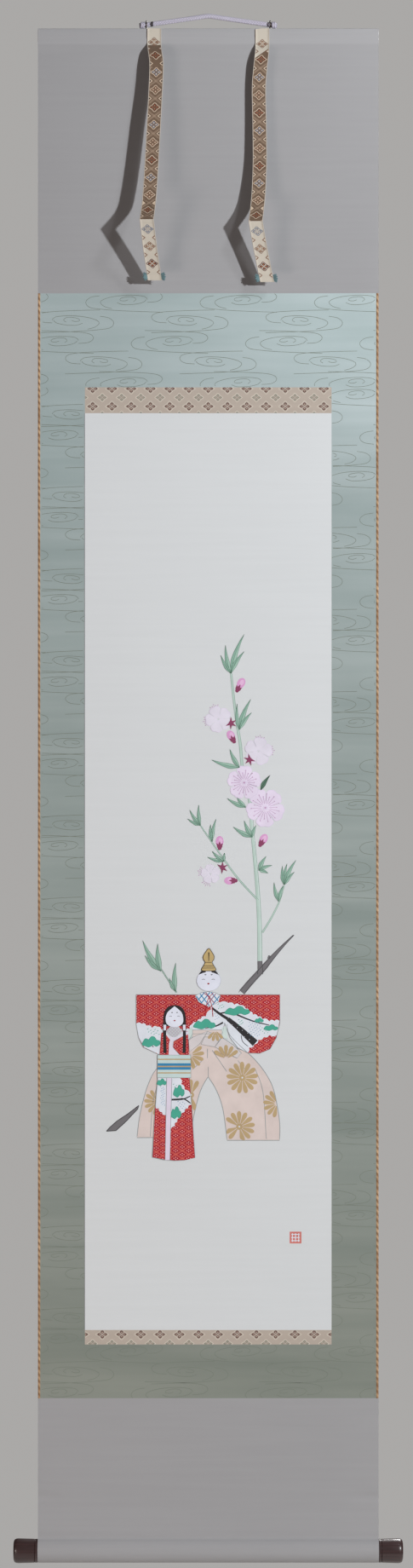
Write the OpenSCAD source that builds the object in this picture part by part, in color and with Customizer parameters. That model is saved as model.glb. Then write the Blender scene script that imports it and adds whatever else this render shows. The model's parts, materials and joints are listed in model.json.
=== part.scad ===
// A hanging scroll: a painting on silk, framed in brocade, green silk and plain silk,
// lined with paper, hung from a half-round stave and weighted by a round roller.
// Millimetres. +Z is up, -Y is the painted front, and the origin is where the hook holds the cord.

/* [Cloth sizes] */
// Width of the whole mounting
cloth_w = 435; // [420:1:450]
// Width of the painting and of the two brocade bands
painting_w = 315; // [300:1:330]
// Height of the painting
painting_h = 1170; // [1100:5:1250]
// Height of the plain silk between the stave and the green silk
heaven_h = 318; // [280:1:360]
// Height of the upper green border
green_top_h = 120; // [90:1:150]
// Height of the lower green border
green_bottom_h = 68.5; // [55:0.5:85]
// Height of the upper brocade band
brocade_top_h = 33; // [20:1:50]
// Height of the lower brocade band
brocade_bottom_h = 18.5; // [12:0.5:30]
// Width of the narrow edging down both sides of the green silk
edging_w = 3; // [2:0.5:5]
// Height of the cover silk on the upper back
cover_h = 260; // [200:5:320]

/* [Layers] */
// Thickness of every silk
silk_t = 0.5; // [0.4:0.1:0.6]
// Thickness of the paper lining
paper_t = 0.5; // [0.4:0.1:0.6]

/* [Stave and cord] */
// Radius of the half-round stave
stave_r = 9.5; // [9:0.5:10]
// Distance from the centre to each eyelet
eyelet_x = 79; // [79:1:80]
// Radius of the eyelet's ring, to the middle of its wire
eyelet_ring_r = 4.6; // [4.4:0.1:4.8]
// Radius of the eyelet's wire
eyelet_wire_r = 0.9; // [0.7:0.1:1]
// Thickness of the hanging cord
cord_d = 6; // [5:0.5:6]

/* [Straps] */
// Distance from the centre to the middle of each strap
strap_x = 69; // [65:1:72]
// Width of each strap
strap_w = 18; // [15:0.5:20]
// Thickness of each strap
strap_t = 1; // [0.8:0.1:1.2]

/* [Left strap] */
// Length from the stave down to the crease
left_upper_l = 236; // [225:1:240]
// Length from the crease down to the end
left_lower_l = 80; // [70:1:90]
// Lean of the length above the crease, out from the cloth, in degrees
left_upper_lean = 12.2; // [12:0.1:14]
// Lean of the length below the crease, back to the cloth, in degrees
left_lower_lean = 24; // [20:0.1:24]

/* [Right strap] */
// Length from the stave down to the crease
right_upper_l = 233; // [225:1:240]
// Length from the crease down to the end
right_lower_l = 77; // [70:1:90]
// Lean of the length above the crease, out from the cloth, in degrees
right_upper_lean = 8.2; // [8:0.1:14]
// Lean of the length below the crease, back to the cloth, in degrees
right_lower_lean = 13; // [10:0.1:14]

/* [Roller] */
// Radius of the wooden roller
core_r = 14; // [13:0.5:14]
// Length of each knob
knob_l = 31; // [25:1:35]
// Radius of the tenon that carries each knob
tenon_r = 6; // [5:0.5:7]
// Height of the lowest strip of the bottom silk
band_first_h = 20.7; // [20.7:0.1:22]
// How much taller each strip is than the one below it, so that the turns clear each other
band_growth = 0.3; // [0.3:0.01:0.33]

/* [Hidden] */
n_bands = 8;
SIDES = ["left", "right"];
BANDS = [for (k = [1:n_bands]) k];
$fn = 64;

gap = 0.3;               // clearance between strips that turn on each other
seat = 0.02;             // clearance where one curved layer lies inside another
small_sides = 24;        // sides of the small round shapes
column_w = (cloth_w - painting_w) / 2;

// Depths: the cord hangs in the plane y = 0, and the stave's flat face is in front of it
stave_y = -3;
paper_y = stave_y - paper_t;
front_y = paper_y - silk_t;   // the painted face, which every winding hinge lies on

// Heights, from the hook down
stave_top = -13.5;
stave_z = stave_top - silk_t - stave_r;
stave_bottom = stave_z - stave_r - silk_t;
green_top = stave_bottom - heaven_h;
brocade_top = green_top - green_top_h;
painting_top = brocade_top - brocade_top_h;
painting_bottom = painting_top - painting_h;
brocade_bottom = painting_bottom - brocade_bottom_h;
earth_top = brocade_bottom - green_bottom_h;

// Strip k = 1 is the highest, n_bands the lowest
function band_h(k) = band_first_h + band_growth * (n_bands - k);
function band_top(k) = k == 1 ? earth_top : band_top(k - 1) - band_h(k - 1);
pocket_top = band_top(n_bands) - band_h(n_bands);
roller_z = pocket_top - band_first_h;
fold = silk_t + paper_t;               // thickness of the silk with its lining
pocket_r = core_r + fold;
pocket_apex = band_first_h - gap;      // height of the pocket's top edge above the roller's centre
arc_steps = 60;

// The hanging cord's middle line, from the left knot to the hook; the right half mirrors it
cord_half = [
    [-88, 0, -9.2],
    [-79, 0, -8.2],
    [-66, 0, -6.4],
    [-52, 0, -4.4],
    [-38, 0, -2.4],
    [-24, 0, -0.4],
    [-11, 0, 1.6],
    [-4, 0, 2.7]
];
cord_points = concat(
    cord_half,
    [[0, 0, cord_d / 2]],
    [for (i = [len(cord_half) - 1:-1:0]) [-cord_half[i].x, cord_half[i].y, cord_half[i].z]]
);
cord_sides = 10;
eyelet_z = -8.2;
shank_l = 8;
knot_r = 4.6;
knot_l = 7;
knot_drop = 0.5;         // how far the knots' middle is below the eyelets

crease_gap = 0.7;        // bare length each side of a strap's crease
swing_gap = 0.5;         // bare length below the tab that a strap hangs from
upper_shift = -9;        // how far each strap drifts sideways down to its crease
lower_shift_left = 10;   // and from there down to its end
lower_shift_right = 15;
strap_front_y = front_y - strap_t;
swing_z = stave_bottom - gap / 3;
function upper_l(side) = side < 0 ? left_upper_l : right_upper_l;
function lower_l(side) = side < 0 ? left_lower_l : right_lower_l;
function upper_lean(side) = side < 0 ? left_upper_lean : right_upper_lean;
function lower_lean(side) = side < 0 ? left_lower_lean : right_lower_lean;
function lower_shift(side) = side < 0 ? lower_shift_left : lower_shift_right;
tassel_r = 2.4;
tassel_out = 1.4;        // how far a tuft's middle is outside the strap's edge
tassel_down = 0.8;       // and below its end

tenon_l = 16;
knob_round = 5;          // radius of the rounding at a knob's outer end
knob_flare = 0.6;        // how much the outer end is wider than the inner end
end_cloth_t = 0.4;

// ---------- shapes that repeat ----------

// Draws a (depth, height) outline and runs it along X
module along_x(length) {
    rotate([90, 0, 90]) linear_extrude(length, center = true) children();
}

// A flat layer of the mounting, between two heights
module panel(x0, x1, z0, z1, y0, t) {
    translate([x0, y0, z0]) cube([x1 - x0, t, z1 - z0]);
}

// A half-round with its flat side at depth y0
module half_round(r, y0) {
    translate([stave_y, stave_z]) intersection() {
        circle(r);
        translate([0, -r]) square([r, 2 * r]);
    }
    translate([y0, stave_z - r]) square([stave_y - y0 + seat, 2 * r]);
}

// The outline of a round roller with a pointed top, drawn round the roller's centre.
// The top is y0 to y1 wide, and its two flanks run down to touch the circle.
function teardrop(r, y0, y1, h) =
    let (
        front = atan2(y0, h) - acos(r / norm([y0, h])),
        back = atan2(y1, h) + acos(r / norm([y1, h])) - 360
    )
    concat(
        [[y0, h]],
        [for (i = [0:arc_steps]) let (a = front + (back - front) * i / arc_steps) r * [sin(a), cos(a)]],
        [[y1, h]]
    );

function hand(s) = s == "left" ? -1 : 1;

// ---------- the sheet ----------

module painting_sheet() {
    color("whitesmoke")
        panel(-painting_w / 2, painting_w / 2, painting_bottom, painting_top, front_y, silk_t);
}

module brocade_band_top() {
    color("tan")
        panel(-painting_w / 2, painting_w / 2, painting_top, brocade_top, front_y, silk_t);
}

module brocade_band_bottom() {
    color("tan")
        panel(-painting_w / 2, painting_w / 2, brocade_bottom, painting_bottom, front_y, silk_t);
}

module green_border(z0, z1) {
    half = cloth_w / 2 - edging_w;
    color("darkseagreen") panel(-half, half, z0, z1, front_y, silk_t);
}

module green_column(side) {
    inner = painting_w / 2;
    outer = cloth_w / 2 - edging_w;
    color("darkseagreen")
        panel(side < 0 ? -outer : inner, side < 0 ? -inner : outer, brocade_bottom, brocade_top, front_y, silk_t);
}

module edging(side) {
    outer = cloth_w / 2;
    inner = outer - edging_w;
    color("darkkhaki")
        panel(side < 0 ? -outer : inner, side < 0 ? -inner : outer, earth_top, green_top, front_y, silk_t);
}

// The top silk runs up the front of the stave, over it and down its round back
module heaven_silk() {
    color("silver") difference() {
        along_x(cloth_w) difference() {
            union() {
                translate([front_y, green_top]) square([silk_t, stave_top - silk_t - green_top]);
                half_round(stave_r + silk_t, front_y);
            }
            translate([paper_y, green_top - 1]) square([paper_t, stave_z + stave_r - green_top + 1]);
            half_round(stave_r, stave_y);
        }
        eyelet_holes();
    }
}

module lining_paper() {
    color("ivory")
        panel(-cloth_w / 2, cloth_w / 2, earth_top + gap / 2, stave_z + stave_r, paper_y, paper_t);
}

module cover_silk() {
    color("lightsteelblue")
        panel(-cloth_w / 2, cloth_w / 2, stave_bottom - cover_h, stave_bottom, stave_y, silk_t);
}

// ---------- stave, eyelets and cord ----------

module eyelet_holes() {
    for (s = [-1, 1])
        translate([s * eyelet_x, 0, eyelet_z - eyelet_ring_r - shank_l]) cylinder(h = shank_l, r = eyelet_wire_r);
}

module top_stave() {
    color("burlywood") difference() {
        along_x(cloth_w) half_round(stave_r, stave_y);
        eyelet_holes();
    }
}

// Cloth patch that closes the end of the stave
module stave_end_cloth(side) {
    color("silver")
        translate([side * (cloth_w + end_cloth_t) / 2, 0, 0])
            along_x(end_cloth_t) half_round(stave_r + silk_t, front_y);
}

// A ring on a shank that is driven into the top of the stave; the cord runs through the ring
module eyelet(side) {
    color("dimgray") translate([side * eyelet_x, 0, eyelet_z]) {
        rotate([0, 90, 0]) rotate_extrude() translate([eyelet_ring_r, 0]) circle(eyelet_wire_r, $fn = small_sides);
        translate([0, 0, -eyelet_ring_r - shank_l]) cylinder(h = shank_l, r = eyelet_wire_r);
    }
}

// A round tube along a list of points in the plane y = 0
module tube(points, r, sides) {
    last = len(points) - 1;
    function heading(i) = points[min(i + 1, last)] - points[max(i - 1, 0)];
    function across(i) = [-heading(i).z, 0, heading(i).x] / norm(heading(i));
    rings = [for (i = [0:last], j = [0:sides - 1])
        points[i] + r * (cos(360 * j / sides) * across(i) + sin(360 * j / sides) * [0, 1, 0])];
    walls = [for (i = [0:last - 1], j = [0:sides - 1]) let (n = (j + 1) % sides)
        [i * sides + j, i * sides + n, (i + 1) * sides + n, (i + 1) * sides + j]];
    start_cap = [for (j = [sides - 1:-1:0]) j];
    end_cap = [for (j = [0:sides - 1]) last * sides + j];
    polyhedron(rings, concat([start_cap], walls, [end_cap]));
}

module hanging_cord() {
    color("lavender") tube(cord_points, cord_d / 2, cord_sides);
}

// The turns of cord that stop each end outside its eyelet
module cord_knot(side) {
    color("lavender") translate([side * (eyelet_x + eyelet_wire_r + gap), 0, eyelet_z - knot_drop])
        rotate([0, side * 90, 0]) difference() {
            cylinder(h = knot_l, r = knot_r);
            translate([0, 0, -1]) cylinder(h = knot_l + 2, r = cord_d / 2);
        }
}

// ---------- straps ----------

// A strip that hangs from the line y = z = 0 and drifts sideways on its way down
module strip(length, shift, top_gap, bottom_gap) {
    function drift(z) = shift * z / length;
    rotate([90, 0, 0]) translate([0, 0, -strap_t]) linear_extrude(strap_t) polygon([
        [drift(top_gap) - strap_w / 2, -top_gap],
        [drift(top_gap) + strap_w / 2, -top_gap],
        [drift(length - bottom_gap) + strap_w / 2, bottom_gap - length],
        [drift(length - bottom_gap) - strap_w / 2, bottom_gap - length]
    ]);
}

module at_swing(side) {
    translate([side * strap_x, strap_front_y, swing_z])
        rotate([-upper_lean(side), 0, 0]) children();
}

module at_crease(side) {
    crease_y = strap_front_y - upper_l(side) * sin(upper_lean(side));
    crease_z = swing_z - upper_l(side) * cos(upper_lean(side));
    translate([side * strap_x + upper_shift, crease_y, crease_z])
        rotate([lower_lean(side), 0, 0]) children();
}

// The glued end of the strap, flat on the front of the stave
module strap_tab(side) {
    color("wheat")
        panel(side * strap_x - strap_w / 2, side * strap_x + strap_w / 2,
            stave_bottom, stave_top - gap, strap_front_y, strap_t);
}

module strap_upper(side) {
    color("rosybrown") at_swing(side) strip(upper_l(side), upper_shift, swing_gap, crease_gap);
}

module strap_lower(side) {
    color("wheat") at_crease(side) strip(lower_l(side), lower_shift(side), crease_gap, 0);
}

// Small tufts of thread at the two lower corners
module strap_tassels(side) {
    color("cadetblue") at_crease(side)
        for (s = [-1, 1])
            translate([
                lower_shift(side) + s * (strap_w / 2 + tassel_out),
                strap_t / 2,
                -lower_l(side) - tassel_down
            ]) sphere(tassel_r, $fn = small_sides);
}

// ---------- bottom silk, in the strips that wind on to the roller ----------

module band(k, y0, t) {
    panel(-cloth_w / 2, cloth_w / 2, band_top(k) - band_h(k) + gap / 2, band_top(k) - gap / 2, y0, t);
}

module earth_silk(k) {
    color("lightgray") band(k, front_y, silk_t);
}

module earth_lining(k) {
    color("ivory") band(k, paper_y, paper_t);
}

// ---------- roller ----------

module at_roller() {
    translate([0, front_y, roller_z]) children();
}

module pocket_silk() {
    color("lightgray") at_roller() along_x(cloth_w) difference() {
        polygon(teardrop(pocket_r, 0, fold + silk_t, pocket_apex));
        polygon(teardrop(pocket_r - silk_t, silk_t, fold, pocket_apex + gap));
    }
}

module pocket_lining() {
    color("ivory") at_roller() along_x(cloth_w) difference() {
        polygon(teardrop(pocket_r - silk_t - seat, silk_t + seat, fold - seat, pocket_apex - gap));
        circle(core_r);
    }
}

module roller_core() {
    color("burlywood") at_roller() rotate([0, 90, 0]) {
        cylinder(h = cloth_w, r = core_r, center = true);
        cylinder(h = cloth_w + 2 * tenon_l, r = tenon_r, center = true);
    }
}

// A turned knob, a little wider at its rounded outer end, with a blind hole for the tenon
module knob(side) {
    r_out = pocket_r + knob_flare;
    color([0.24, 0.18, 0.17]) at_roller() translate([side * cloth_w / 2, 0, 0])
        rotate([0, side * 90, 0]) rotate_extrude() difference() {
            union() {
                polygon([
                    [0, 0],
                    [pocket_r, 0],
                    [r_out, knob_l - knob_round],
                    [r_out - knob_round, knob_l],
                    [0, knob_l]
                ]);
                intersection() {
                    translate([r_out - knob_round, knob_l - knob_round]) circle(knob_round);
                    square([r_out, knob_l]);
                }
            }
            square([tenon_r, tenon_l]);
        }
}

// ---------- one line for each node ----------

painting_sheet();
brocade_band_top();
brocade_band_bottom();
green_border(brocade_top, green_top);  // green_border_top
green_border(earth_top, brocade_bottom);  // green_border_bottom
heaven_silk();
lining_paper();
cover_silk();
top_stave();
hanging_cord();
for (s = SIDES) {
    green_column(hand(s));
    edging(hand(s));
    stave_end_cloth(hand(s));
    eyelet(hand(s));
    cord_knot(hand(s));
    strap_tab(hand(s));
    strap_upper(hand(s));
    strap_lower(hand(s));
    strap_tassels(hand(s));
    knob(hand(s));
}
for (k = BANDS) {
    earth_silk(k);
    earth_lining(k);
}
pocket_silk();
pocket_lining();
roller_core();
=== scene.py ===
"""A hanging scroll: a painting framed in brocade and silk, with its stave, cord, straps and roller.

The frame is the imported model: +Z is up, -Y is the painted side, and the hook holds the origin.
Lengths in this script are millimetres, and mesh_object() turns them into metres.
"""
import json
import math

import bmesh
import bpy
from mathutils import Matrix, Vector


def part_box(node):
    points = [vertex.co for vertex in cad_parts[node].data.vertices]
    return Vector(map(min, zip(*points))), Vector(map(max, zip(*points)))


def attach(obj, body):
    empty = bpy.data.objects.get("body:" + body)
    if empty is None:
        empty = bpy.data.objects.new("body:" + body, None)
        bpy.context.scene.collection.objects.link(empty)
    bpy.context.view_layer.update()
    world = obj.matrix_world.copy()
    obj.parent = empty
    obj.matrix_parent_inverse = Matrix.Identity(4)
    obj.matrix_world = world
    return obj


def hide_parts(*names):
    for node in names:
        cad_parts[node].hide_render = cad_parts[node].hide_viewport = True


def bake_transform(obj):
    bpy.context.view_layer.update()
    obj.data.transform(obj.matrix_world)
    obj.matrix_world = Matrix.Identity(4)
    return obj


MM = 0.001
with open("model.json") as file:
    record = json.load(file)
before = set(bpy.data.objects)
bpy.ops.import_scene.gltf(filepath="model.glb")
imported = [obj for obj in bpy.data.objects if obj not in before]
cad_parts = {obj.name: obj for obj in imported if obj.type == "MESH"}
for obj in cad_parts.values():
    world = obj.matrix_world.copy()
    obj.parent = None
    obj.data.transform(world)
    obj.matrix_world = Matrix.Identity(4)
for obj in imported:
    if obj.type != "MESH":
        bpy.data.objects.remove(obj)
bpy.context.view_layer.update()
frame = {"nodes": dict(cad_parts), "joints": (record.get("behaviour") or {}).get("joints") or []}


class Box:
    """A CAD node's box at rest."""

    def __init__(self, node):
        low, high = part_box(node)
        self.x0, self.y0, self.z0 = (v / MM for v in low)
        self.x1, self.y1, self.z1 = (v / MM for v in high)


cloth = Box("lining_paper")
paint = Box("painting_sheet")
stave = Box("top_stave")
core = Box("roller_core")
FACE = paint.y0
SILK = paint.y1 - paint.y0
EARTH_TOP = Box("green_border_bottom").z0
HANDS = {"left": -1, "right": 1}

# ---------- camera, cord route and lights ----------

CAMERA_DISTANCE = 5000
VIEW_HEIGHT = 2001
VIEW_MIDDLE = (-2.2, -977.7)
CORD_HALF = [
    (-88, 0, -9.2),
    (-79, 0, -8.2),
    (-66, 0, -6.4),
    (-52, 0, -4.4),
    (-38, 0, -2.4),
    (-24, 0, -0.4),
    (-11, 0, 1.6),
    (-4, 0, 2.7),
]
CORD_ROUTE = CORD_HALF + [(0, 0, 3)] + [(-x, y, z) for x, y, z in reversed(CORD_HALF)]


def aim(obj, target):
    obj.rotation_euler = (Vector(target) * MM - obj.location).to_track_quat("-Z", "Y").to_euler()


def add_camera():
    data = bpy.data.cameras.new("camera")
    data.angle = 2 * math.atan(VIEW_HEIGHT / 2 / CAMERA_DISTANCE)
    camera = bpy.data.objects.new("camera", data)
    bpy.context.scene.collection.objects.link(camera)
    x, z = VIEW_MIDDLE
    camera.location = Vector((x, FACE - CAMERA_DISTANCE, z)) * MM
    aim(camera, (x, FACE, z))
    bpy.context.scene.camera = camera


def add_light(name, place, target, size, power, colour=(1, 1, 1)):
    data = bpy.data.lights.new(name, "AREA")
    data.shape = "DISK"
    data.size = size * MM
    data.energy = power
    data.color = colour
    lamp = bpy.data.objects.new(name, data)
    bpy.context.scene.collection.objects.link(lamp)
    lamp.location = Vector(place) * MM
    aim(lamp, target)


def add_world():
    world = bpy.data.worlds.new("pale_room")
    bpy.context.scene.world = world
    world.use_nodes = True
    tree = world.node_tree
    lighting = tree.nodes["Background"]
    seen = tree.nodes.new("ShaderNodeBackground")
    mix = tree.nodes.new("ShaderNodeMixShader")
    path = tree.nodes.new("ShaderNodeLightPath")
    for background, colour, strength in ((lighting, (0.95, 0.81, 0.75, 1), 0.065),
                                         (seen, (0.86, 0.84, 0.82, 1), 0.47)):
        background.inputs["Color"].default_value = colour
        background.inputs["Strength"].default_value = strength
    tree.links.new(path.outputs["Is Camera Ray"], mix.inputs["Fac"])
    tree.links.new(lighting.outputs["Background"], mix.inputs[1])
    tree.links.new(seen.outputs["Background"], mix.inputs[2])
    tree.links.new(mix.outputs["Shader"], tree.nodes["World Output"].inputs["Surface"])


# ---------- meshes ----------


def mesh_object(name, verts, faces, materials, slots=None, smooth=True):
    """A mesh from points in mm, with its faces turned outwards."""
    mesh = bpy.data.meshes.new(name)
    mesh.from_pydata([(x * MM, y * MM, z * MM) for x, y, z in verts], [], faces)
    for material in materials:
        mesh.materials.append(material)
    if slots:
        mesh.polygons.foreach_set("material_index", slots)
    work = bmesh.new()
    work.from_mesh(mesh)
    bmesh.ops.recalc_face_normals(work, faces=work.faces)
    work.to_mesh(mesh)
    work.free()
    if smooth:
        mesh.polygons.foreach_set("use_smooth", [True] * len(mesh.polygons))
        mesh.set_sharp_from_angle(angle=math.radians(40))
    obj = bpy.data.objects.new(name, mesh)
    bpy.context.scene.collection.objects.link(obj)
    return obj


def closed_grid(name, front, back, materials, slot_of=None):
    """A closed sheet from two grids of points, one for each side."""
    rows, columns = len(front), len(front[0])
    verts = [p for row in front for p in row] + [p for row in back for p in row]
    size = rows * columns
    faces, slots = [], []

    def add(face, i, j):
        faces.append(face)
        slots.append(slot_of(i, j) if slot_of else 0)

    for i in range(rows - 1):
        for j in range(columns - 1):
            a = i * columns + j
            quad = (a, a + 1, a + columns + 1, a + columns)
            add(quad, i, j)
            add(tuple(size + v for v in reversed(quad)), i, j)
    for j in range(columns - 1):
        for i, a in ((0, j), (rows - 2, (rows - 1) * columns + j)):
            add((a, a + 1, size + a + 1, size + a), i, j)
    for i in range(rows - 1):
        for j, a in ((0, i * columns), (columns - 2, i * columns + columns - 1)):
            add((a, a + columns, size + a + columns, size + a), i, j)
    return mesh_object(name, verts, faces, materials, slots if slot_of else None)


def tube(name, rings, materials):
    """A closed tube through rings of points."""
    sides = len(rings[0])
    verts = [p for ring in rings for p in ring]
    faces = [tuple(range(sides)), tuple(range(len(verts) - sides, len(verts)))]
    for i in range(len(rings) - 1):
        for j in range(sides):
            n = (j + 1) % sides
            faces.append((i * sides + j, i * sides + n, (i + 1) * sides + n, (i + 1) * sides + j))
    return mesh_object(name, verts, faces, materials)


def spread(start, end, pitch):
    """Evenly spaced values from start to end, no further apart than pitch."""
    count = max(1, math.ceil(abs(end - start) / pitch))
    return [start + (end - start) * i / count for i in range(count + 1)]


def circle(sides):
    """The corners of a round outline of radius 1."""
    return [(math.cos(math.tau * k / sides), math.sin(math.tau * k / sides)) for k in range(sides)]


def ease(t):
    t = min(max(t, 0.0), 1.0)
    return t * t * (3 - 2 * t)


def turned(points, angle):
    c, s = math.cos(angle), math.sin(angle)
    return [(p * c - q * s, p * s + q * c) for p, q in points]


def smooth(points, closed=False, step=1.5):
    """Points along a smooth curve through the given ones."""
    knots = [Vector(p) for p in points]
    last = len(knots) - 1
    out = []
    for i in range(last + 1 if closed else last):
        picks = [(i + k) % (last + 1) if closed else min(max(i + k, 0), last) for k in (-1, 0, 1, 2)]
        a, b, c, d = (knots[p] for p in picks)
        count = max(2, int((c - b).length / step))
        for j in range(count):
            t = j / count
            out.append(0.5 * (2 * b + (c - a) * t + (2 * a - 5 * b + 4 * c - d) * t * t
                              + (3 * b - a - 3 * c + d) * t ** 3))
    if not closed:
        out.append(knots[-1])
    return [tuple(p) for p in out]


# ---------- materials ----------


def rgb(red, green, blue):
    """A display colour from 0 to 255 as linear light."""
    return tuple(((c / 255 + 0.055) / 1.055) ** 2.4 if c > 10 else c / 255 / 12.92
                 for c in (red, green, blue))


def shade(colour, factor):
    return tuple(min(1.0, c * factor) for c in colour) + (1.0,)


class Shader:
    """A principled material and the nodes that feed it."""

    def __init__(self, name, roughness=0.8, **settings):
        self.material = bpy.data.materials.new(name)
        self.material.use_nodes = True
        self.tree = self.material.node_tree
        self.tree.nodes.clear()
        output = self.node("OutputMaterial")
        self.surface = self.node("BsdfPrincipled", {"Roughness": roughness, **settings})
        self.tree.links.new(self.surface.outputs["BSDF"], output.inputs["Surface"])
        self.place = self.node("TexCoord").outputs["Object"]

    def node(self, kind, inputs=None, **settings):
        node = self.tree.nodes.new("ShaderNode" + kind)
        for key, value in settings.items():
            setattr(node, key, value)
        for key, value in (inputs or {}).items():
            if isinstance(value, bpy.types.NodeSocket):
                self.tree.links.new(value, node.inputs[key])
            else:
                node.inputs[key].default_value = value
        return node

    def noise(self, scale, size=1.0, detail=3.0):
        """Noise from 0 to 1; scale stretches it along X, Y and Z."""
        mapped = self.node("Mapping", {"Vector": self.place, "Scale": scale})
        return self.node("TexNoise", {"Vector": mapped.outputs["Vector"], "Scale": size,
                                      "Detail": detail}).outputs["Fac"]

    def threads(self, width, direction):
        """Ridges of the given width in mm, side by side along X or Z."""
        return self.node("TexWave", {"Vector": self.place, "Scale": math.pi / (10 * width * MM)},
                         wave_type="BANDS", bands_direction=direction).outputs["Fac"]

    def ramp(self, value, low, high, to_low=0.0, to_high=1.0):
        return self.node("MapRange", {"Value": value, "From Min": low, "From Max": high,
                                      "To Min": to_low, "To Max": to_high}).outputs["Result"]

    def math(self, operation, a, b):
        return self.node("Math", {0: a, 1: b}, operation=operation).outputs[0]

    def mix(self, factor, a, b):
        node = self.node("Mix", {0: factor, 6: a, 7: b}, data_type="RGBA")
        return node.outputs[2]

    def tinted(self, socket, factors):
        return self.node("Mix", {0: 1.0, 6: socket, 7: factors + (1.0,)}, data_type="RGBA",
                         blend_type="MULTIPLY").outputs[2]

    def colour(self, socket):
        self.tree.links.new(socket, self.surface.inputs["Base Color"])

    def bump(self, height, strength, distance):
        bump = self.node("Bump", {"Height": height, "Strength": strength, "Distance": distance * MM})
        self.tree.links.new(bump.outputs["Normal"], self.surface.inputs["Normal"])


STAVE_PAINTED_LIGHT = 1.08     # painted highlight: how much paler the silk over the stave's front is drawn, for the light it catches there; the mean across its width


def woven(name, colour, thread=0.6, streak=0.06, relief=0.25, roughness=0.75, sheen=0.15, painted_light_above=None):
    """Cloth with the given thread width in mm, a little uneven along its weft."""
    s = Shader(name, roughness, **{"Sheen Weight": sheen, "Sheen Roughness": 0.5})
    slubs = s.noise((6, 6, 160), 1.0, 4.0)
    clouds = s.noise((5, 5, 5), 1.0, 2.0)
    uneven = s.math("ADD", s.math("MULTIPLY", slubs, 0.6), s.math("MULTIPLY", clouds, 0.4))
    factor = s.ramp(uneven, 0.3, 0.7)
    ground = s.mix(factor, shade(colour, 1 - streak), shade(colour, 1 + streak))
    # painted highlight: above the given height the cloth is drawn paler, for the light on the silk over the
    # stave
    if painted_light_above:
        painted_light_mask = s.ramp(s.node("SeparateXYZ", {0: s.place}).outputs["Z"], painted_light_above, painted_light_above + 0.002)
        ground = s.mix(painted_light_mask, ground, s.tinted(ground, (STAVE_PAINTED_LIGHT,) * 3))
    s.colour(ground)
    s.bump(s.math("ADD", s.threads(thread, "X"), s.threads(thread, "Z")), relief, 0.15)
    return s.material


def pigment(name, colour, uneven=0.05):
    """Matt paint or dyed thread that lets the cloth's grain through."""
    s = Shader(name, 0.8)
    wash = s.ramp(s.noise((60, 60, 60), 1.0, 3.0), 0.3, 0.7)
    s.colour(s.mix(wash, shade(colour, 1 - uneven), shade(colour, 1 + uneven)))
    s.bump(s.noise((900, 900, 900)), 0.15, 0.1)
    return s.material


def wood(name, colour, roughness, contrast, coat=0.0):
    s = Shader(name, roughness, **{"Coat Weight": coat, "Coat Roughness": 0.15})
    grain = s.ramp(s.noise((12, 420, 420), 1.0, 5.0), 0.35, 0.65)
    s.colour(s.mix(grain, shade(colour, 1 - contrast), shade(colour, 1 + contrast)))
    s.bump(grain, 0.1, 0.2)
    return s.material


def metal(name, colour):
    s = Shader(name, 0.42, **{"Metallic": 0.9})
    tarnish = s.noise((500, 500, 500), 1.0, 4.0)
    s.colour(s.mix(tarnish, shade(colour, 0.7), shade(colour, 1.35)))
    s.bump(tarnish, 0.12, 0.1)
    return s.material


def braided(name, colour):
    """Silk braid: fine slanting threads, with painted shade in the gaps between them."""
    s = Shader(name, 0.6, **{"Sheen Weight": 0.2})
    one = s.node("TexWave", {"Vector": s.place, "Scale": 190.0}, bands_direction="DIAGONAL").outputs["Fac"]
    flipped = s.node("Mapping", {"Vector": s.place, "Scale": (-1, 1, 1)}).outputs["Vector"]
    two = s.node("TexWave", {"Vector": flipped, "Scale": 190.0}, bands_direction="DIAGONAL").outputs["Fac"]
    weave = s.math("MULTIPLY", one, two)
    # painted shade: the gaps between the threads are drawn darker
    s.colour(s.mix(s.ramp(weave, 0.0, 0.5), shade(colour, 0.78), shade(colour, 1.06)))
    s.bump(weave, 0.35, 0.3)
    return s.material


def twisted(name, colour, dark):
    """The narrow edging: slanting thread, dark and light by turns."""
    s = Shader(name, 0.7)
    twist = s.node("TexWave", {"Vector": s.place, "Scale": 75.0, "Distortion": 2.0, "Detail": 2.0,
                               "Detail Scale": 30.0}, bands_direction="DIAGONAL").outputs["Fac"]
    patches = s.noise((30, 30, 55), 1.0, 2.0)
    factor = s.math("MULTIPLY", twist, s.ramp(patches, 0.3, 0.7, 0.3, 1.2))
    s.colour(s.mix(factor, dark + (1.0,), colour + (1.0,)))
    s.bump(twist, 0.3, 0.3)
    return s.material


def water_silk(name):
    """The green silk: bluer towards its top, in faint bands; paler at its top and upper right and duller
    and darker below, which is painted light and shade.
    """
    s = Shader(name, 0.75, **{"Sheen Weight": 0.15, "Sheen Roughness": 0.5})
    height = s.node("SeparateXYZ", {0: s.place}).outputs["Z"]
    # painted shade: darker and duller towards the foot, paler towards the top, as the light falls; the hue
    # turns bluer towards the top too
    rise = s.ramp(height, -1.72, -0.42)
    ground = s.mix(rise, shade(rgb(130, 136, 128), 1), shade(rgb(158, 173, 175), 1))
    # painted highlight: a paler patch at the upper right, where the sheen catches the light
    right = s.ramp(s.node("SeparateXYZ", {0: s.place}).outputs["X"], -0.12, 0.14)
    upper = s.ramp(height, -0.6, -0.42)
    ground = s.mix(s.math("MULTIPLY", right, upper), ground, shade(rgb(182, 197, 200), 1))
    bands = s.ramp(s.noise((2.5, 2.5, 26), 1.0, 3.0), 0.3, 0.7)
    s.colour(s.mix(bands, s.tinted(ground, (0.84, 0.87, 0.86)), s.tinted(ground, (1.12, 1.1, 1.1))))
    s.bump(s.math("ADD", s.threads(0.6, "X"), s.threads(0.6, "Z")), 0.2, 0.15)
    return s.material


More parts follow.
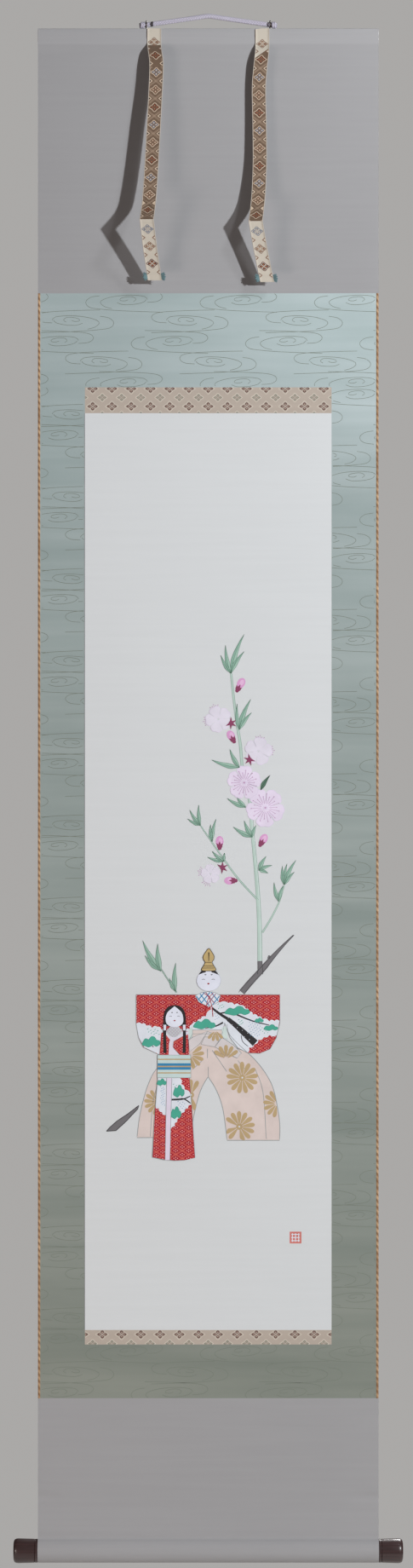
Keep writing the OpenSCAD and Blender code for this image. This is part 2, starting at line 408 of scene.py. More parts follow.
PLAIN = woven("plain_silk", rgb(157, 157, 160), streak=0.03, relief=0.2)
# the top silk, with a painted highlight on its band over the stave's front
TOP_SILK = woven("plain_silk_with_painted_light_on_stave", rgb(156, 156, 159), streak=0.03, relief=0.2,
                 painted_light_above=-0.0345)
GREEN = water_silk("green_silk")
PAINTING = woven("painting_silk", rgb(212, 216, 219), thread=0.5, streak=0.02, relief=0.12, sheen=0.05)
BROCADE = woven("brocade", rgb(182, 170, 159), thread=0.4, streak=0.05, relief=0.3)
# painted light: one brocade in two copies, a shaded one for the strap's upper length and a lit one for its
# tab and end
STRAP_PAINTED_SHADE = woven("strap_painted_shade", rgb(108, 86, 68), thread=0.4, streak=0.08, relief=0.35)
STRAP_PAINTED_LIT = woven("strap_painted_lit", rgb(198, 190, 177), thread=0.4, streak=0.05, relief=0.3)
PIPING = woven("strap_piping", rgb(190, 180, 168), thread=0.5, streak=0.04, relief=0.3)
PAPER = woven("lining_paper", rgb(228, 222, 206), thread=1.4, streak=0.04, relief=0.05, roughness=0.9,
              sheen=0.0)
COVER = woven("cover_silk", rgb(150, 168, 186), streak=0.05, relief=0.2)
EDGING = twisted("ochre_edging", rgb(196, 164, 128), rgb(130, 94, 62))
BARE_WOOD = wood("bare_wood", rgb(200, 170, 128), 0.6, 0.18)
DARK_WOOD = wood("dark_wood", rgb(58, 40, 40), 0.38, 0.25, coat=0.3)
METAL = metal("dark_metal", rgb(88, 80, 76))
BRAID = braided("cord_braid", rgb(190, 186, 202))
BINDING = pigment("cord_binding", rgb(60, 55, 58))
TASSEL = woven("tassel_thread", rgb(100, 130, 136), thread=0.35, streak=0.2, relief=0.5)

COLOURS = {
    "red": rgb(168, 6, 38),
    "deep_red": rgb(150, 26, 40),
    "cream": rgb(226, 160, 156),
    "gold": rgb(212, 102, 90),
    "white": rgb(220, 226, 236),
    "flesh": rgb(222, 226, 240),
    "face_line": rgb(190, 194, 206),
    "brow": rgb(128, 130, 138),
    "peach": rgb(216, 202, 198),
    "fold_white": rgb(212, 206, 208),
    "tan": rgb(186, 162, 122),
    "umber": rgb(70, 58, 40),
    "hat": rgb(192, 168, 116),
    "ink": rgb(40, 38, 42),
    "hair": rgb(34, 31, 34),
    "grey_line": rgb(150, 156, 158),
    "pine": rgb(70, 168, 146),
    "pine_dark": rgb(60, 148, 128),
    "leaf": rgb(158, 192, 177),
    "leaf_shade": rgb(136, 174, 158),
    "leaf_dark": rgb(84, 118, 100),
    "stem": rgb(184, 206, 198),
    "mint": rgb(204, 220, 217),
    "stem_dark": rgb(136, 166, 152),
    "bark": rgb(112, 110, 114),
    "petal": rgb(228, 217, 238),
    "petal_back": rgb(222, 218, 232),
    "petal_edge": rgb(220, 208, 231),
    "stamen": rgb(190, 154, 190),
    "bud": rgb(216, 158, 206),
    "bud_light": rgb(226, 184, 220),
    "calyx": rgb(138, 62, 98),
    "lilac": rgb(222, 212, 230),
    "sash": rgb(196, 216, 216),
    "collar": rgb(194, 208, 206),
    "collar_line": rgb(136, 168, 176),
    "collar_red": rgb(150, 110, 130),
    "blue": rgb(52, 132, 178),
    "water_line": rgb(116, 124, 114),
    "brocade_brown": rgb(104, 80, 74),
    "brocade_heart": rgb(176, 154, 142),
    "brocade_cream": rgb(206, 198, 186),
    "brocade_grey": rgb(138, 142, 130),
    "strap_red": rgb(92, 48, 38),
    "strap_heart": rgb(168, 112, 78),
    # the strap's ground in its painted shade
    "strap_painted_shade_ground": rgb(108, 86, 68),
    "strap_thread": rgb(160, 138, 118),
    "strap_tan": rgb(130, 98, 78),
    "strap_blue": rgb(118, 124, 138),
    "strap_light": rgb(204, 184, 162),
    "strap_ink": rgb(62, 46, 40),
    "seal": rgb(204, 118, 110),
}
INKS = {name: pigment("ink_" + name, colour) for name, colour in COLOURS.items()}


# ---------- thin painted and woven shapes ----------

LIFT = 0.05    # how far each layer of ink stands over the one below
APART = 0.09   # the share of it that keeps shapes in the same layer apart
SINK = 0.12    # how far it is set into the cloth


def contains(outline):
    """A test for points that are inside the outline."""
    edges = list(zip(outline, outline[1:] + outline[:1]))

    def test(point):
        x, y = point
        inside = False
        for (x0, y0), (x1, y1) in edges:
            if (y0 > y) != (y1 > y) and x < x0 + (y - y0) * (x1 - x0) / (y1 - y0):
                inside = not inside
        return inside

    return test


def clip(outline, window):
    """The part of an outline that is inside a window (u0, v0, u1, v1)."""
    u0, v0, u1, v1 = window
    for axis, limit, sign in ((0, u0, 1), (0, u1, -1), (1, v0, 1), (1, v1, -1)):
        kept = []
        for p, q in zip(outline, outline[1:] + outline[:1]):
            dp, dq = sign * (p[axis] - limit), sign * (q[axis] - limit)
            if dp >= 0:
                kept.append(p)
            if dp * dq < 0:
                t = dp / (dp - dq)
                kept.append((p[0] + (q[0] - p[0]) * t, p[1] + (q[1] - p[1]) * t))
        outline = kept
        if len(outline) < 3:
            return []
    return outline


class Ink:
    """Thin closed shapes on a surface. place(u, v, lift) gives a point on it."""

    def __init__(self, place, window=None):
        self.place = place
        self.window = window
        self.verts, self.faces, self.slots, self.used = [], [], [], []
        self.count = 0

    def _lift(self, layer):
        """The height of a layer, with neighbours in it kept apart so that they don't coincide."""
        self.count += 1
        return LIFT * (layer + 1) + LIFT * APART * (self.count % 10)

    def _add(self, verts, faces, colour):
        if colour not in self.used:
            self.used.append(colour)
        base = len(self.verts)
        self.verts += verts
        self.faces += [tuple(base + v for v in face) for face in faces]
        self.slots += [self.used.index(colour)] * len(faces)

    def area(self, outline, colour, layer=0):
        if self.window:
            outline = clip(outline, self.window)
        n = len(outline)
        if n < 3:
            return
        verts = [self.place(u, v, lift) for lift in (self._lift(layer), -SINK) for u, v in outline]
        sides = [(i, (i + 1) % n, n + (i + 1) % n, n + i) for i in range(n)]
        self._add(verts, [tuple(range(n)), tuple(reversed(range(n, 2 * n)))] + sides, colour)

    def line(self, points, width, colour, layer=1, keep=None):
        """A ribbon along the points; width is one value, or the widths at its start and end."""
        start, end = width if isinstance(width, tuple) else (width, width)
        total = max(1, len(points) - 1)
        run = []
        for i, (u, v) in enumerate(points):
            shown = keep is None or keep((u, v))
            if self.window:
                u0, v0, u1, v1 = self.window
                shown = shown and u0 <= u <= u1 and v0 <= v <= v1
            if shown:
                run.append((Vector((u, v)), start + (end - start) * i / total))
            if (not shown or i == total) and run:
                self._ribbon(run, colour, layer)
                run = []

    def _ribbon(self, run, colour, layer):
        if len(run) < 2:
            return
        verts, faces, lift = [], [], self._lift(layer)
        for i, (point, width) in enumerate(run):
            along = run[min(i + 1, len(run) - 1)][0] - run[max(i - 1, 0)][0]
            if along.length < 1e-6:
                along = Vector((1, 0))
            side = Vector((-along.y, along.x)).normalized() * max(width, 0.15) / 2
            for u, v in (point + side, point - side):
                verts += [self.place(u, v, lift), self.place(u, v, -SINK)]
        for i in range(len(run) - 1):
            a, b = 4 * i, 4 * i + 4
            faces += [(a, a + 2, b + 2, b), (a + 1, b + 1, b + 3, a + 3), (a, b, b + 1, a + 1),
                      (a + 2, a + 3, b + 3, b + 2)]
        end = 4 * (len(run) - 1)
        faces += [(0, 1, 3, 2), (end, end + 2, end + 3, end + 1)]
        self._add(verts, faces, colour)

    def oval(self, u, v, ru, rv, colour, layer=1, turn=0.0, sides=16):
        ring = turned([(ru * a, rv * b) for a, b in circle(sides)], turn)
        self.area([(u + a, v + b) for a, b in ring], colour, layer)

    def outlined(self, outline, colour, edge, width, layer=0):
        self.area(outline, colour, layer)
        self.line(outline + outline[:1], width, edge, layer + 1)

    def build(self, name):
        return mesh_object(name, self.verts, self.faces, [INKS[c] for c in self.used], self.slots,
                           smooth=False)


# ---------- the mounting ----------

CLOTH_PITCH = 7.0     # the widest step between points across a flat cloth
STAVE_SWELL = 1.1     # how far the cloth on the stave stands in front of the rest
WAVE = 0.9            # depth of the slow waves along both edges
EARTH_CALM = 0.35     # the share of them left in the silk that winds on to the roller
PUCKER = 1.2          # depth of the small crease at both edges above the roller
PUCKER_Z = -1888      # its height
ROLL_OUT = 3.1        # how the silk comes forward above the roller: how far, from where, over what height
ROLL_START = -1899
ROLL_RISE = 48


def face(x, z):
    """Depth of the mounting's front: flat behind the painting, gently waved at both edges."""
    edge = ease((abs(x) - paint.x1) / (cloth.x1 - paint.x1))
    side = 1 if x > 0 else -1
    calm = EARTH_CALM + (1 - EARTH_CALM) * ease((z - EARTH_TOP) / 120)
    free = ease((stave.z0 - 20 - z) / 150) * calm
    wave = math.sin(z / 97 + 1.3 * side) + 0.5 * math.sin(z / 41 + side)
    pucker = PUCKER * math.exp(-((z - PUCKER_Z) / 7) ** 2) * ease((abs(x) - 165) / 50)
    forward = STAVE_SWELL * ease((z - stave.z0 + 3) / 4) + ROLL_OUT * ease((ROLL_START - z) / ROLL_RISE)
    return FACE + WAVE * edge * free * wave + pucker - forward


def face_grid(xs, zs, depth):
    """Rows of points at a depth behind the mounting's face."""
    return [[(x, face(x, z) + depth, z) for x in xs] for z in zs]


def on_face(x, z, lift):
    return (x, face(x, z) - lift, z)


def panel(name, node, material, depth=0.0, with_pieces=()):
    """A flat cloth in the mounting, in the place of its CAD node."""
    box = Box(node)
    xs, zs = spread(box.x0, box.x1, CLOTH_PITCH), spread(box.z1, box.z0, CLOTH_PITCH)
    obj = closed_grid(name, face_grid(xs, zs, depth), face_grid(xs, zs, depth + SILK), [material])
    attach(obj, "mounting")
    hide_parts(node)


def length_of(points):
    return sum((Vector(b) - Vector(a)).length for a, b in zip(points, points[1:]))


def offset(path, distance):
    """A (depth, height) path moved to the right of its own direction."""
    out = []
    for i, (y, z) in enumerate(path):
        a, b = path[max(i - 1, 0)], path[min(i + 1, len(path) - 1)]
        dy, dz = b[0] - a[0], b[1] - a[1]
        size = math.hypot(dy, dz)
        out.append((y + distance * dz / size, z - distance * dy / size))
    return out


def build_heaven():
    """The top silk, from the green silk up the front of the stave and down its round back."""
    low = Box("heaven_silk").z0
    middle, radius = (stave.z0 + stave.z1) / 2, (stave.z1 - stave.z0) / 2 + SILK
    flat_y = stave.y0 + (paint.y1 - paint.y0) * 2
    turn = [math.radians(a) for a in range(80, -91, -10)]
    over = [(FACE - STAVE_SWELL + 0.3, middle + radius - 0.5), (FACE + 0.4, middle + radius)]
    over += [(flat_y + radius * math.cos(a), middle + radius * math.sin(a)) for a in turn]
    heights = spread(low, middle + radius - 1.6, 6)
    front, back = [], []
    xs = spread(cloth.x0, cloth.x1, CLOTH_PITCH)
    for x in xs:
        path = [(face(x, z), z) for z in heights] + over
        front.append([(x, y, z) for y, z in path])
        back.append([(x, y, z) for y, z in offset(path, SILK)])
    obj = closed_grid("heaven_cloth", front, back, [TOP_SILK])
    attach(obj, "mounting")
    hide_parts("heaven_silk")
    length_of(front[0]) * MM
    for hand, side in HANDS.items():
        patch = []
        for ring in range(4):
            share = 1 - ring / 3.5
            shape = [(FACE, middle + radius), (FACE, middle - radius)]
            shape += [(flat_y + radius * math.cos(a), middle + radius * math.sin(a))
                      for a in reversed(turn)]
            centre = Vector((0, middle))
            patch.append([centre + (Vector(p) - centre) * share for p in shape])
        bulge = [0, 0.2, 0.32, 0.38]
        rings = [[(side * cloth.x1, *p) for p in patch[0]]]
        rings += [[(side * (cloth.x1 + 0.02 + b), *p) for p in ring] for b, ring in zip(bulge, patch)]
        cap = tube(f"stave_end_{hand}", rings, [PLAIN])
        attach(cap, "mounting")
        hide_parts(f"stave_end_cloth_{hand}")


def build_panels():
    for end in ("top", "bottom"):
        panel(f"green_cloth_{end}", f"green_border_{end}", GREEN)
    for hand in HANDS:
        panel(f"green_cloth_{hand}", f"green_column_{hand}", GREEN,
              with_pieces=[build_edging(hand)])
    panel("painting", "painting_sheet", PAINTING)
    panel("brocade_top", "brocade_band_top", BROCADE)
    panel("brocade_bottom", "brocade_band_bottom", BROCADE)
    panel("back_paper", "lining_paper", PAPER, depth=SILK)
    panel("back_cover", "cover_silk", COVER, depth=2 * SILK)


def build_edging(hand):
    """A narrow twisted edge, crowned across its width, with small ridges."""
    across = [-1, -0.7, -0.35, 0, 0.35, 0.7, 1]
    box = Box(f"edging_{hand}")
    middle, half = (box.x0 + box.x1) / 2, (box.x1 - box.x0) / 2
    front, back = [], []
    for z in spread(box.z1, box.z0, 0.9):
        crown = [0.45 * (1 - t * t) * (1 + 0.45 * math.sin(z * 1.9 + 2 * t)) for t in across]
        front.append([(middle + half * t, face(middle, z) - c, z) for t, c in zip(across, crown)])
        back.append([(middle + half * t, face(middle, z) + SILK, z) for t in across])
    obj = closed_grid(f"edge_{hand}", front, back, [EDGING])
    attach(obj, "mounting")
    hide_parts(f"edging_{hand}")
    return obj


# ---------- the flowing-water figure in the green silk ----------

WATER_PITCH = 146     # from one figure to the next along a row
WATER_ROW = 26.2      # from one row to the next
WATER_SHIFTS = [0, -70, 58, -34]     # how far each row in turn is moved sideways
WATER_START = 103.5     # how far left of the middle the rows begin


def water_figure(u, v, flip):
    """One figure: a small flat spiral between long hooks."""
    hooks = [
        [(35.5, 12.9), (0, 12.1), (-32.2, 10.2), (-43.5, 6.5), (-44.3, 1.6), (-37.9, -2.4), (-25.8, -3.5)],
        [(-25.8, 0), (-21.8, 4), (-4.8, 5.6), (16.1, 4), (30.6, 0), (34.2, -4), (29, -8.9), (19.4, -11.6)],
        [(-24, 0), (-21, -3.2), (-9.7, -6), (4.8, -6.5), (12.9, -4)],
        [(-8, -2.4), (-11.3, 0), (-8, 3.2), (0, 3.5), (8, 1.6), (8.9, -1.1), (3.2, -1.8), (-1, -0.4)],
        [(35.5, 4.8), (46.8, 2.7), (52.9, -3.2), (48.4, -9.7), (32.3, -12.4), (4.8, -14.4), (-45.2, -16.2)],
    ]
    return [smooth([(u + flip * a, v + b) for a, b in hook], step=2) for hook in hooks]


def build_water():
    for name in ("border_top", "border_bottom", "column_left", "column_right"):
        box = Box("green_" + name)
        ink = Ink(on_face, (box.x0 + 0.3, box.z0 + 0.3, box.x1 - 0.3, box.z1 - 0.3))
        for row in range(math.ceil((box.z1 - box.z0) / WATER_ROW) + 1):
            v = box.z1 - 8 - row * WATER_ROW
            shift = WATER_SHIFTS[row % 4] - WATER_START
            for k in range(-2, 4):
                for curve in water_figure(shift + k * WATER_PITCH, v, 1 if row % 2 else -1):
                    ink.line(curve, 0.55, "water_line", 0)
        if "column" in name:
            for seam in (box.z0 + 0.8, box.z1 - 0.8):
                ink.line([(box.x0, seam), (box.x1, seam)], 0.8, "water_line", 0)
        obj = ink.build("water_" + name)
        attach(obj, "mounting")


# ---------- brocade ----------


def petal_flower(ink, u, v, wide, tall, petal, heart, edge, layer=0):
    """A woven flower of four petals inside a scalloped diamond."""
    tip, notch = 1.3, 0.74
    ring = []
    for q in range(4):
        a = q * math.pi / 2
        ring.append((u + wide * tip * math.cos(a), v + tall * tip * math.sin(a)))
        b = a + math.pi / 4
        ring.append((u + wide * notch * math.cos(b) * 1.15, v + tall * notch * math.sin(b) * 1.15))
    if edge:
        ink.line(smooth(ring + ring[:1], step=1), 0.75, edge, layer)
    lobe = [(0.14, 0), (0.5, 0.34), (0.82, 0.27), (1.0, 0), (0.82, -0.27), (0.5, -0.34)]
    for q in range(4):
        c, s = round(math.cos(q * math.pi / 2)), round(math.sin(q * math.pi / 2))
        facing = [(a * c - b * s, a * s + b * c) for a, b in lobe]
        ink.area([(u + wide * a, v + tall * b) for a, b in facing], petal, layer)
        ink.area([(u + wide * (0.5 * c + 0.42 * a), v + tall * (0.5 * s + 0.42 * b))
                  for a, b in [(-0.6 * c, -0.6 * s), (0.35 * s, -0.35 * c), (0.6 * c, 0.6 * s),
                               (-0.35 * s, 0.35 * c)]],
                 heart, layer + 1)


def build_brocade():
    pitch = 24.6
    rows_of = {
        "top": [(1.7, 0, "brocade_brown"), (13, 0.5, "brocade_grey"), (24.3, 0, "brocade_brown"),
                (35.6, 0.5, "brocade_grey")],
        "bottom": [(5.6, 0.5, "brocade_brown"), (17.4, 0, "brocade_grey")],
    }
    for name, rows in rows_of.items():
        box = Box("brocade_band_" + name)
        ink = Ink(on_face, (box.x0, box.z0, box.x1, box.z1))
        for down, half, colour in rows:
            size = 1.0 if colour == "brocade_brown" else 0.82
            for k in range(-8, 9):
                u = (k + half) * pitch
                petal_flower(ink, u, box.z1 - down, 6.4 * size, 5.2 * size, colour, "brocade_heart",
                             "brocade_cream")
        obj = ink.build("brocade_flowers_" + name)
        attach(obj, "mounting")


# ---------- the painting: mm right of the middle, and mm below the painting's top ----------


def at(points, x=0.0, down=0.0):
    """Points given as (right, up) from a place (x, down) on the painting."""
    return [(x + a, paint.z1 - down + b) for a, b in points]


LEAF_BEND = 0.05     # how far a leaf bows sideways, as a share of its length


def leaf(ink, base, tip, width, colour, vein):
    """A slim leaf that comes to a sharp point, with one half a little darker."""
    (x0, d0), (x1, d1) = base, tip
    start, end = Vector((x0, paint.z1 - d0)), Vector((x1, paint.z1 - d1))
    along = end - start
    side = Vector((-along.y, along.x)).normalized()
    stops = (0, 0.15, 0.35, 0.7, 1)
    middle = [start + along * t + side * along.length * LEAF_BEND * math.sin(math.pi * t) for t in stops]
    half = [0.08, 0.45, 0.78, 0.42, 0.0]
    left = smooth([tuple(m + side * h * width / 2) for m, h in zip(middle, half)], step=2)
    right = smooth([tuple(m - side * h * width / 2) for m, h in zip(middle, half)], step=2)
    spine = smooth([tuple(m) for m in middle], step=2)
    ink.area(left + right[-2::-1], colour, 3)
    ink.area(left + spine[-2::-1], "leaf_shade" if colour == "leaf" else colour, 4)
    ink.line(spine, (0.5, 0.2), vein, 5)
    ink.line(left, 0.3, vein, 5)
    ink.line(right, 0.3, vein, 5)


def bud(ink, place, calyx):
    """A bud with three dark sepals that reach up from its foot."""
    (x, d), (cx, cd) = place, calyx
    turn = math.atan2(cd - d, x - cx)
    ink.oval(x, paint.z1 - d, 7.0, 5.0, "bud", 2, turn)
    ink.oval(x + 1, paint.z1 - d + 0.8, 3.8, 2.6, "bud_light", 3, turn)
    for lean, reach in ((0.55, 7.5), (-0.55, 7.5), (0, 9.0)):
        sepal = [(-2.2, 1.6), (-2.2, -1.6), (reach * 0.4, -2.1), (reach, 0), (reach * 0.4, 2.1)]
        ink.area(at(turned(sepal, turn + lean), cx, cd), "calyx", 4)


def petals(ink, x, down, radius, angles, colour, layer=2):
    """Broad petals round a point, each lightly notched, with a soft edge."""
    for i, a in enumerate(angles):
        def polar(r, t):
            return (radius * r * math.cos(a + t), radius * r * math.sin(a + t))
        for above, (size, tone) in enumerate(((1.0, "petal_edge"), (0.965, colour))):
            shape = [polar(0.05, 0), polar(0.5 * size, -0.6), polar(0.86 * size, -0.56), polar(size, -0.22),
                     polar(0.95 * size, 0), polar(size, 0.22), polar(0.86 * size, 0.56),
                     polar(0.5 * size, 0.6)]
            ink.area(smooth(at(shape, x, down), closed=True, step=2), tone, layer + i + above)


def stamens(ink, x, down, radius, angles, layer=9):
    for i, a in enumerate(angles):
        reach = radius * (0.8 if i % 2 else 1.0)
        start, tip = at([(r * math.cos(a), r * math.sin(a)) for r in (reach * 0.35, reach)], x, down)
        ink.line([start, tip], 0.42, "stamen", layer)
        ink.oval(*tip, 0.65, 0.65, "stamen", layer + 1, sides=8)


def round_flower(ink, x, down, radius, turn):
    petals(ink, x, down, radius, [turn + k * math.tau / 5 for k in range(5)], "petal")
    stamens(ink, x, down, radius * 0.72, [turn + k * math.tau / 22 for k in range(22)])
    ink.oval(x, paint.z1 - down, 3.2, 3.0, "petal_edge", 9)
    ink.oval(x, paint.z1 - down, 1.3, 1.2, "stamen", 10)


def side_flower(ink, x, down, radius, calyx, turn):
    """A blossom seen from behind, with its calyx at the given place and a few stamens past its far edge."""
    for lean in (-0.7, 0.7):
        a = turn + lean
        tuft = (x + radius * 0.72 * math.cos(a), down - radius * 0.72 * math.sin(a))
        stamens(ink, *tuft, 7.5, [a + k * 0.4 for k in (-2, -1, 0, 1, 2)], layer=0)
    petals(ink, x, down, radius, [turn + math.pi + k * math.tau / 5 for k in range(5)], "petal_back")
    cx, cd = calyx
    for k in range(5):
        a = turn + math.pi + (k - 2) * 1.05
        ink.area(at(turned([(-1.6, 2.7), (7.8, 0), (-1.6, -2.7)], a), cx, cd), "calyx", 9)


STEM = [(66, 699), (65.4, 653), (63.2, 611), (59, 561), (55.7, 528), (54.6, 505), (49, 475), (43.6, 452),
        (41, 423), (36.4, 394), (32.4, 362), (29.2, 332)]
LEFT_TWIG = [(63.2, 621), (40, 596), (21.6, 571.5), (5, 548), (-10, 526)]
RIGHT_TWIG = [(69, 663), (80, 645), (90, 625), (97, 603)]
DARK_BRANCH = [[(43, 739), (54, 726), (66, 713), (74, 704)], [(73, 705), (84, 692), (97, 678), (109, 666)]]
LEAVES = [
    ((29, 332), (46, 282), 8), ((29, 332), (22, 296), 7), ((29, 332), (46, 304), 7),
    ((29, 332), (16, 309), 6),
    ((39.6, 404), (37, 371), 6), ((39.6, 404), (54.4, 365), 8), ((39.6, 404), (55.5, 382), 7),
    ((40, 452), (4.5, 442.5), 8), ((40, 452), (27.6, 429), 7), ((67, 481), (79, 462), 7),
    ((48, 503), (24, 491.5), 7), ((48, 503), (36, 489), 6),
    ((-10, 526), (-23.6, 506.5), 6), ((-10, 526), (-12, 500), 6), ((-10, 526), (-26.6, 517.5), 5),
    ((5, 547), (3, 525), 6), ((5, 547), (10, 518), 6),
    ((20, 572), (5, 559), 6), ((20, 572), (-1, 566.5), 6), ((20, 572), (21, 561), 5),
    ((56, 541), (32, 528), 8), ((56, 541), (46, 520), 7), ((56, 541), (61, 526), 6),
    ((64.6, 583), (74, 565.5), 7), ((64.6, 583), (81.5, 577), 6), ((64.6, 583), (76.5, 587), 6),
    ((97, 602), (94.8, 578), 6), ((97, 602), (100.7, 575), 6), ((97, 602), (112, 570.5), 7),
    ((97, 602), (110, 585.5), 6), ((90, 623), (84, 599), 6), ((90, 623), (95.7, 603), 6),
    ((-60.5, 712), (-83.7, 673), 9), ((-60.5, 712), (-64.5, 677), 9), ((-62, 711), (-81, 692), 8),
    ((-41.5, 738), (-41.4, 701.5), 8), ((-42.5, 737), (-49.5, 721), 6),
]


def twig(ink, points, width, colour, dark, layer=1):
    line = smooth(at([(x, -d) for x, d in points]), step=2)
    ink.line(line, width, colour, layer)
    wide, thin = width
    for side in (-1, 1):
        edge = [(u + side * (wide + (thin - wide) * i / len(line)) / 2, v) for i, (u, v) in enumerate(line)]
        ink.line(edge, 0.5, dark, layer + 1)


def paint_branch():
    ink = Ink(on_face)
    twig(ink, [(66.5, 716), (66, 699)], (6.5, 5.4), "bark", "ink")
    twig(ink, [(77, 696), (78, 692)], (2.6, 1.4), "bark", "ink")
    for part, width in zip(DARK_BRANCH, ((8.4, 7.6), (7.6, 1.2))):
        twig(ink, part, width, "bark", "ink")
    twig(ink, STEM, (5.4, 2.2), "stem", "stem_dark")
    ink.line(smooth(at([(x + 1.2, -d) for x, d in STEM[:6]]), step=2), (1.6, 0.7), "mint", 2)
    twig(ink, LEFT_TWIG, (2.6, 1.2), "stem", "stem_dark")
    twig(ink, RIGHT_TWIG, (2.4, 1.2), "stem", "stem_dark")
    twig(ink, [(-61, 708), (-52, 722), (-40.4, 739.5)], (1.2, 1.8), "stem", "leaf_dark")
    for base, tip, width in LEAVES:
        dark = base == (67, 481)
        leaf(ink, base, tip, width, "leaf_dark" if dark else "leaf", "ink" if dark else "leaf_dark")
    side_flower(ink, 13, 390.5, 17, (29, 395.5), 2.6)
    side_flower(ink, 64, 431.5, 18, (53, 442), 0.75)
    side_flower(ink, 3, 588, 12.5, (18, 580), 3.6)
    round_flower(ink, 46, 471.5, 22, 0.3)
    round_flower(ink, 73, 503.5, 25, 0.9)
    for place, calyx in (((42, 344.5), (37, 354)), ((29, 411.5), (33, 419)), ((14.6, 546.5), (14.6, 555)),
                         ((70.7, 543.5), (66.5, 551)), ((27.4, 596.5), (35, 596.5))):
        bud(ink, place, calyx)
    return ink.build("painted_branch")


DOLL = 742     # how far the dolls' shoulders are below the painting's top


def on_doll(points, x=0.0):
    """Points given as (right, up) from the dolls' shoulder line."""
    return at(points, x, DOLL)


ROBE = [(-92, 0), (91.5, 0), (91.5, -36), (87, -55), (79, -69.5), (66, -75), (51, -74.5), (38, -68),
        (28, -55), (21, -36), (18, -50), (-20, -50), (-26, -60), (-40, -72), (-62, -77), (-83, -67),
        (-89, -55), (-92, -37)]
CLOUD_TOP = [(-92, -37.2), (-85, -37.2), (-79, -39.5), (-71.5, -42.5), (-65, -41), (-60, -45), (-54, -46),
             (-40, -46), (-30, -46), (-23, -44), (-21, -38), (-14, -35.5), (-9.5, -31), (-3, -27.8),
             (3.5, -18.9), (7, -11), (14.6, -10), (25.7, -10.6), (33.5, -12.8), (40, -13.3), (48, -17.8),
             (57, -25.5), (63.4, -28), (69, -31), (78, -33.9), (91, -33.5)]
CLOUD_RIGHT = [(88, -51.5), (78, -51.5), (71, -54), (64, -57.5), (59, -63.5), (52, -67.5), (49.5, -74)]
CLOUD_HEM = [(38, -67.5), (28, -54.5), (21, -35.5), (17.5, -49.5), (-19.5, -49.5), (-26, -59.5),
             (-40, -71.5), (-62, -76.5), (-82, -67), (-88.5, -55)]
PINES = [(-73, -60, 23, 14), (-5, -37.5, 28, 13), (37, -20.5, 32, 12), (65, -32.5, 11, 6), (80, -42, 18, 8),
         (-44, -58, 18, 10)]
BOUGHS = [
    ([(5, -17), (14, -24), (25, -31)], (2.4, 4), "ink"),
    ([(25, -31), (36, -40), (60, -62)], (5, 9.5), "ink"),
    ([(15, -24), (24, -22.5), (34, -23)], (1.8, 1.8), "ink"),
    ([(33, -24), (55, -33), (78, -39)], (2.2, 1.1), "ink"),
    ([(-4, -43), (10, -40), (19, -35.5)], (1.0, 2.2), "ink"),
    ([(-83, -62), (-76, -61), (-70, -67)], (1, 1), "ink"),
    ([(42, -52), (44, -60), (51, -66)], (0.9, 0.7), "ink"),
    ([(24, -38), (28, -52), (50, -74)], (0.7, 0.7), "grey_line"),
]
TROUSERS = [
    [(-20, -45), (18, -45)],
    [(20, -58), (36, -68), (50, -74), (68, -93), (82, -117), (89, -147), (91.5, -168), (91, -186)],
    [(24, -186), (22, -168), (18, -143), (10, -121), (0, -105)],
    [(-1, -106), (-10, -123), (-18, -153), (-23, -182)],
    [(-91, -182.5), (-88, -158), (-82.5, -133), (-76, -113), (-67, -96), (-50, -82), (-36, -76),
     (-23, -69)],
]
MUMS = [(43.5, -106, 20.4, 0, 13), (39.7, -168.5, 20, 0, 13), (88, -139, 18, 4, 10), (-65, -137, 17, 0, 13),
        (-22, -128, 20, 0, 13), (-23, -77, 18, 10, 15)]
FOLD_MUMS = [(9, -45.5, 14, 8, 12), (23, -82, 18, 1, 6)]
LATTICE_PITCH = 16.6     # width of one diamond of the red cloth
LATTICE_SLOPE = 1.7      # its width over its height


def lattice(ink, keep, outline, layer):
    """Slanting double lines that cross in flat diamonds, with four dots in each, inside an outline."""
    us, vs = [p[0] for p in outline], [p[1] for p in outline]
    u0, v0, u1, v1 = min(us), min(vs), max(us), max(vs)
    reach = LATTICE_SLOPE * (v1 - v0)
    first, last = int((u0 - reach) / LATTICE_PITCH) - 1, int((u1 + reach) / LATTICE_PITCH) + 2
    for hand in (-1, 1):
        for k in range(first, last):
            for gap in (-1.1, 1.1):
                start = k * LATTICE_PITCH + gap
                points = [(start + hand * LATTICE_SLOPE * (v - v1), v) for v in spread(v1, v0, 0.8)]
                ink.line(points, 0.6, "gold", layer, keep)
    tall = LATTICE_PITCH / LATTICE_SLOPE / 2
    for row in range(int((v1 - v0) / tall) + 1):
        v = v1 - row * tall
        for k in range(int(u0 / LATTICE_PITCH) - 1, int(u1 / LATTICE_PITCH) + 2):
            u = (k + (0 if row % 2 else 0.5)) * LATTICE_PITCH
            for dot in ((-2.3, 0), (2.3, 0), (0, -1.4), (0, 1.4)):
                here = (u + dot[0], v + dot[1])
                if keep(here):
                    ink.oval(*here, 0.75, 0.72, "cream", layer + 1, sides=8)


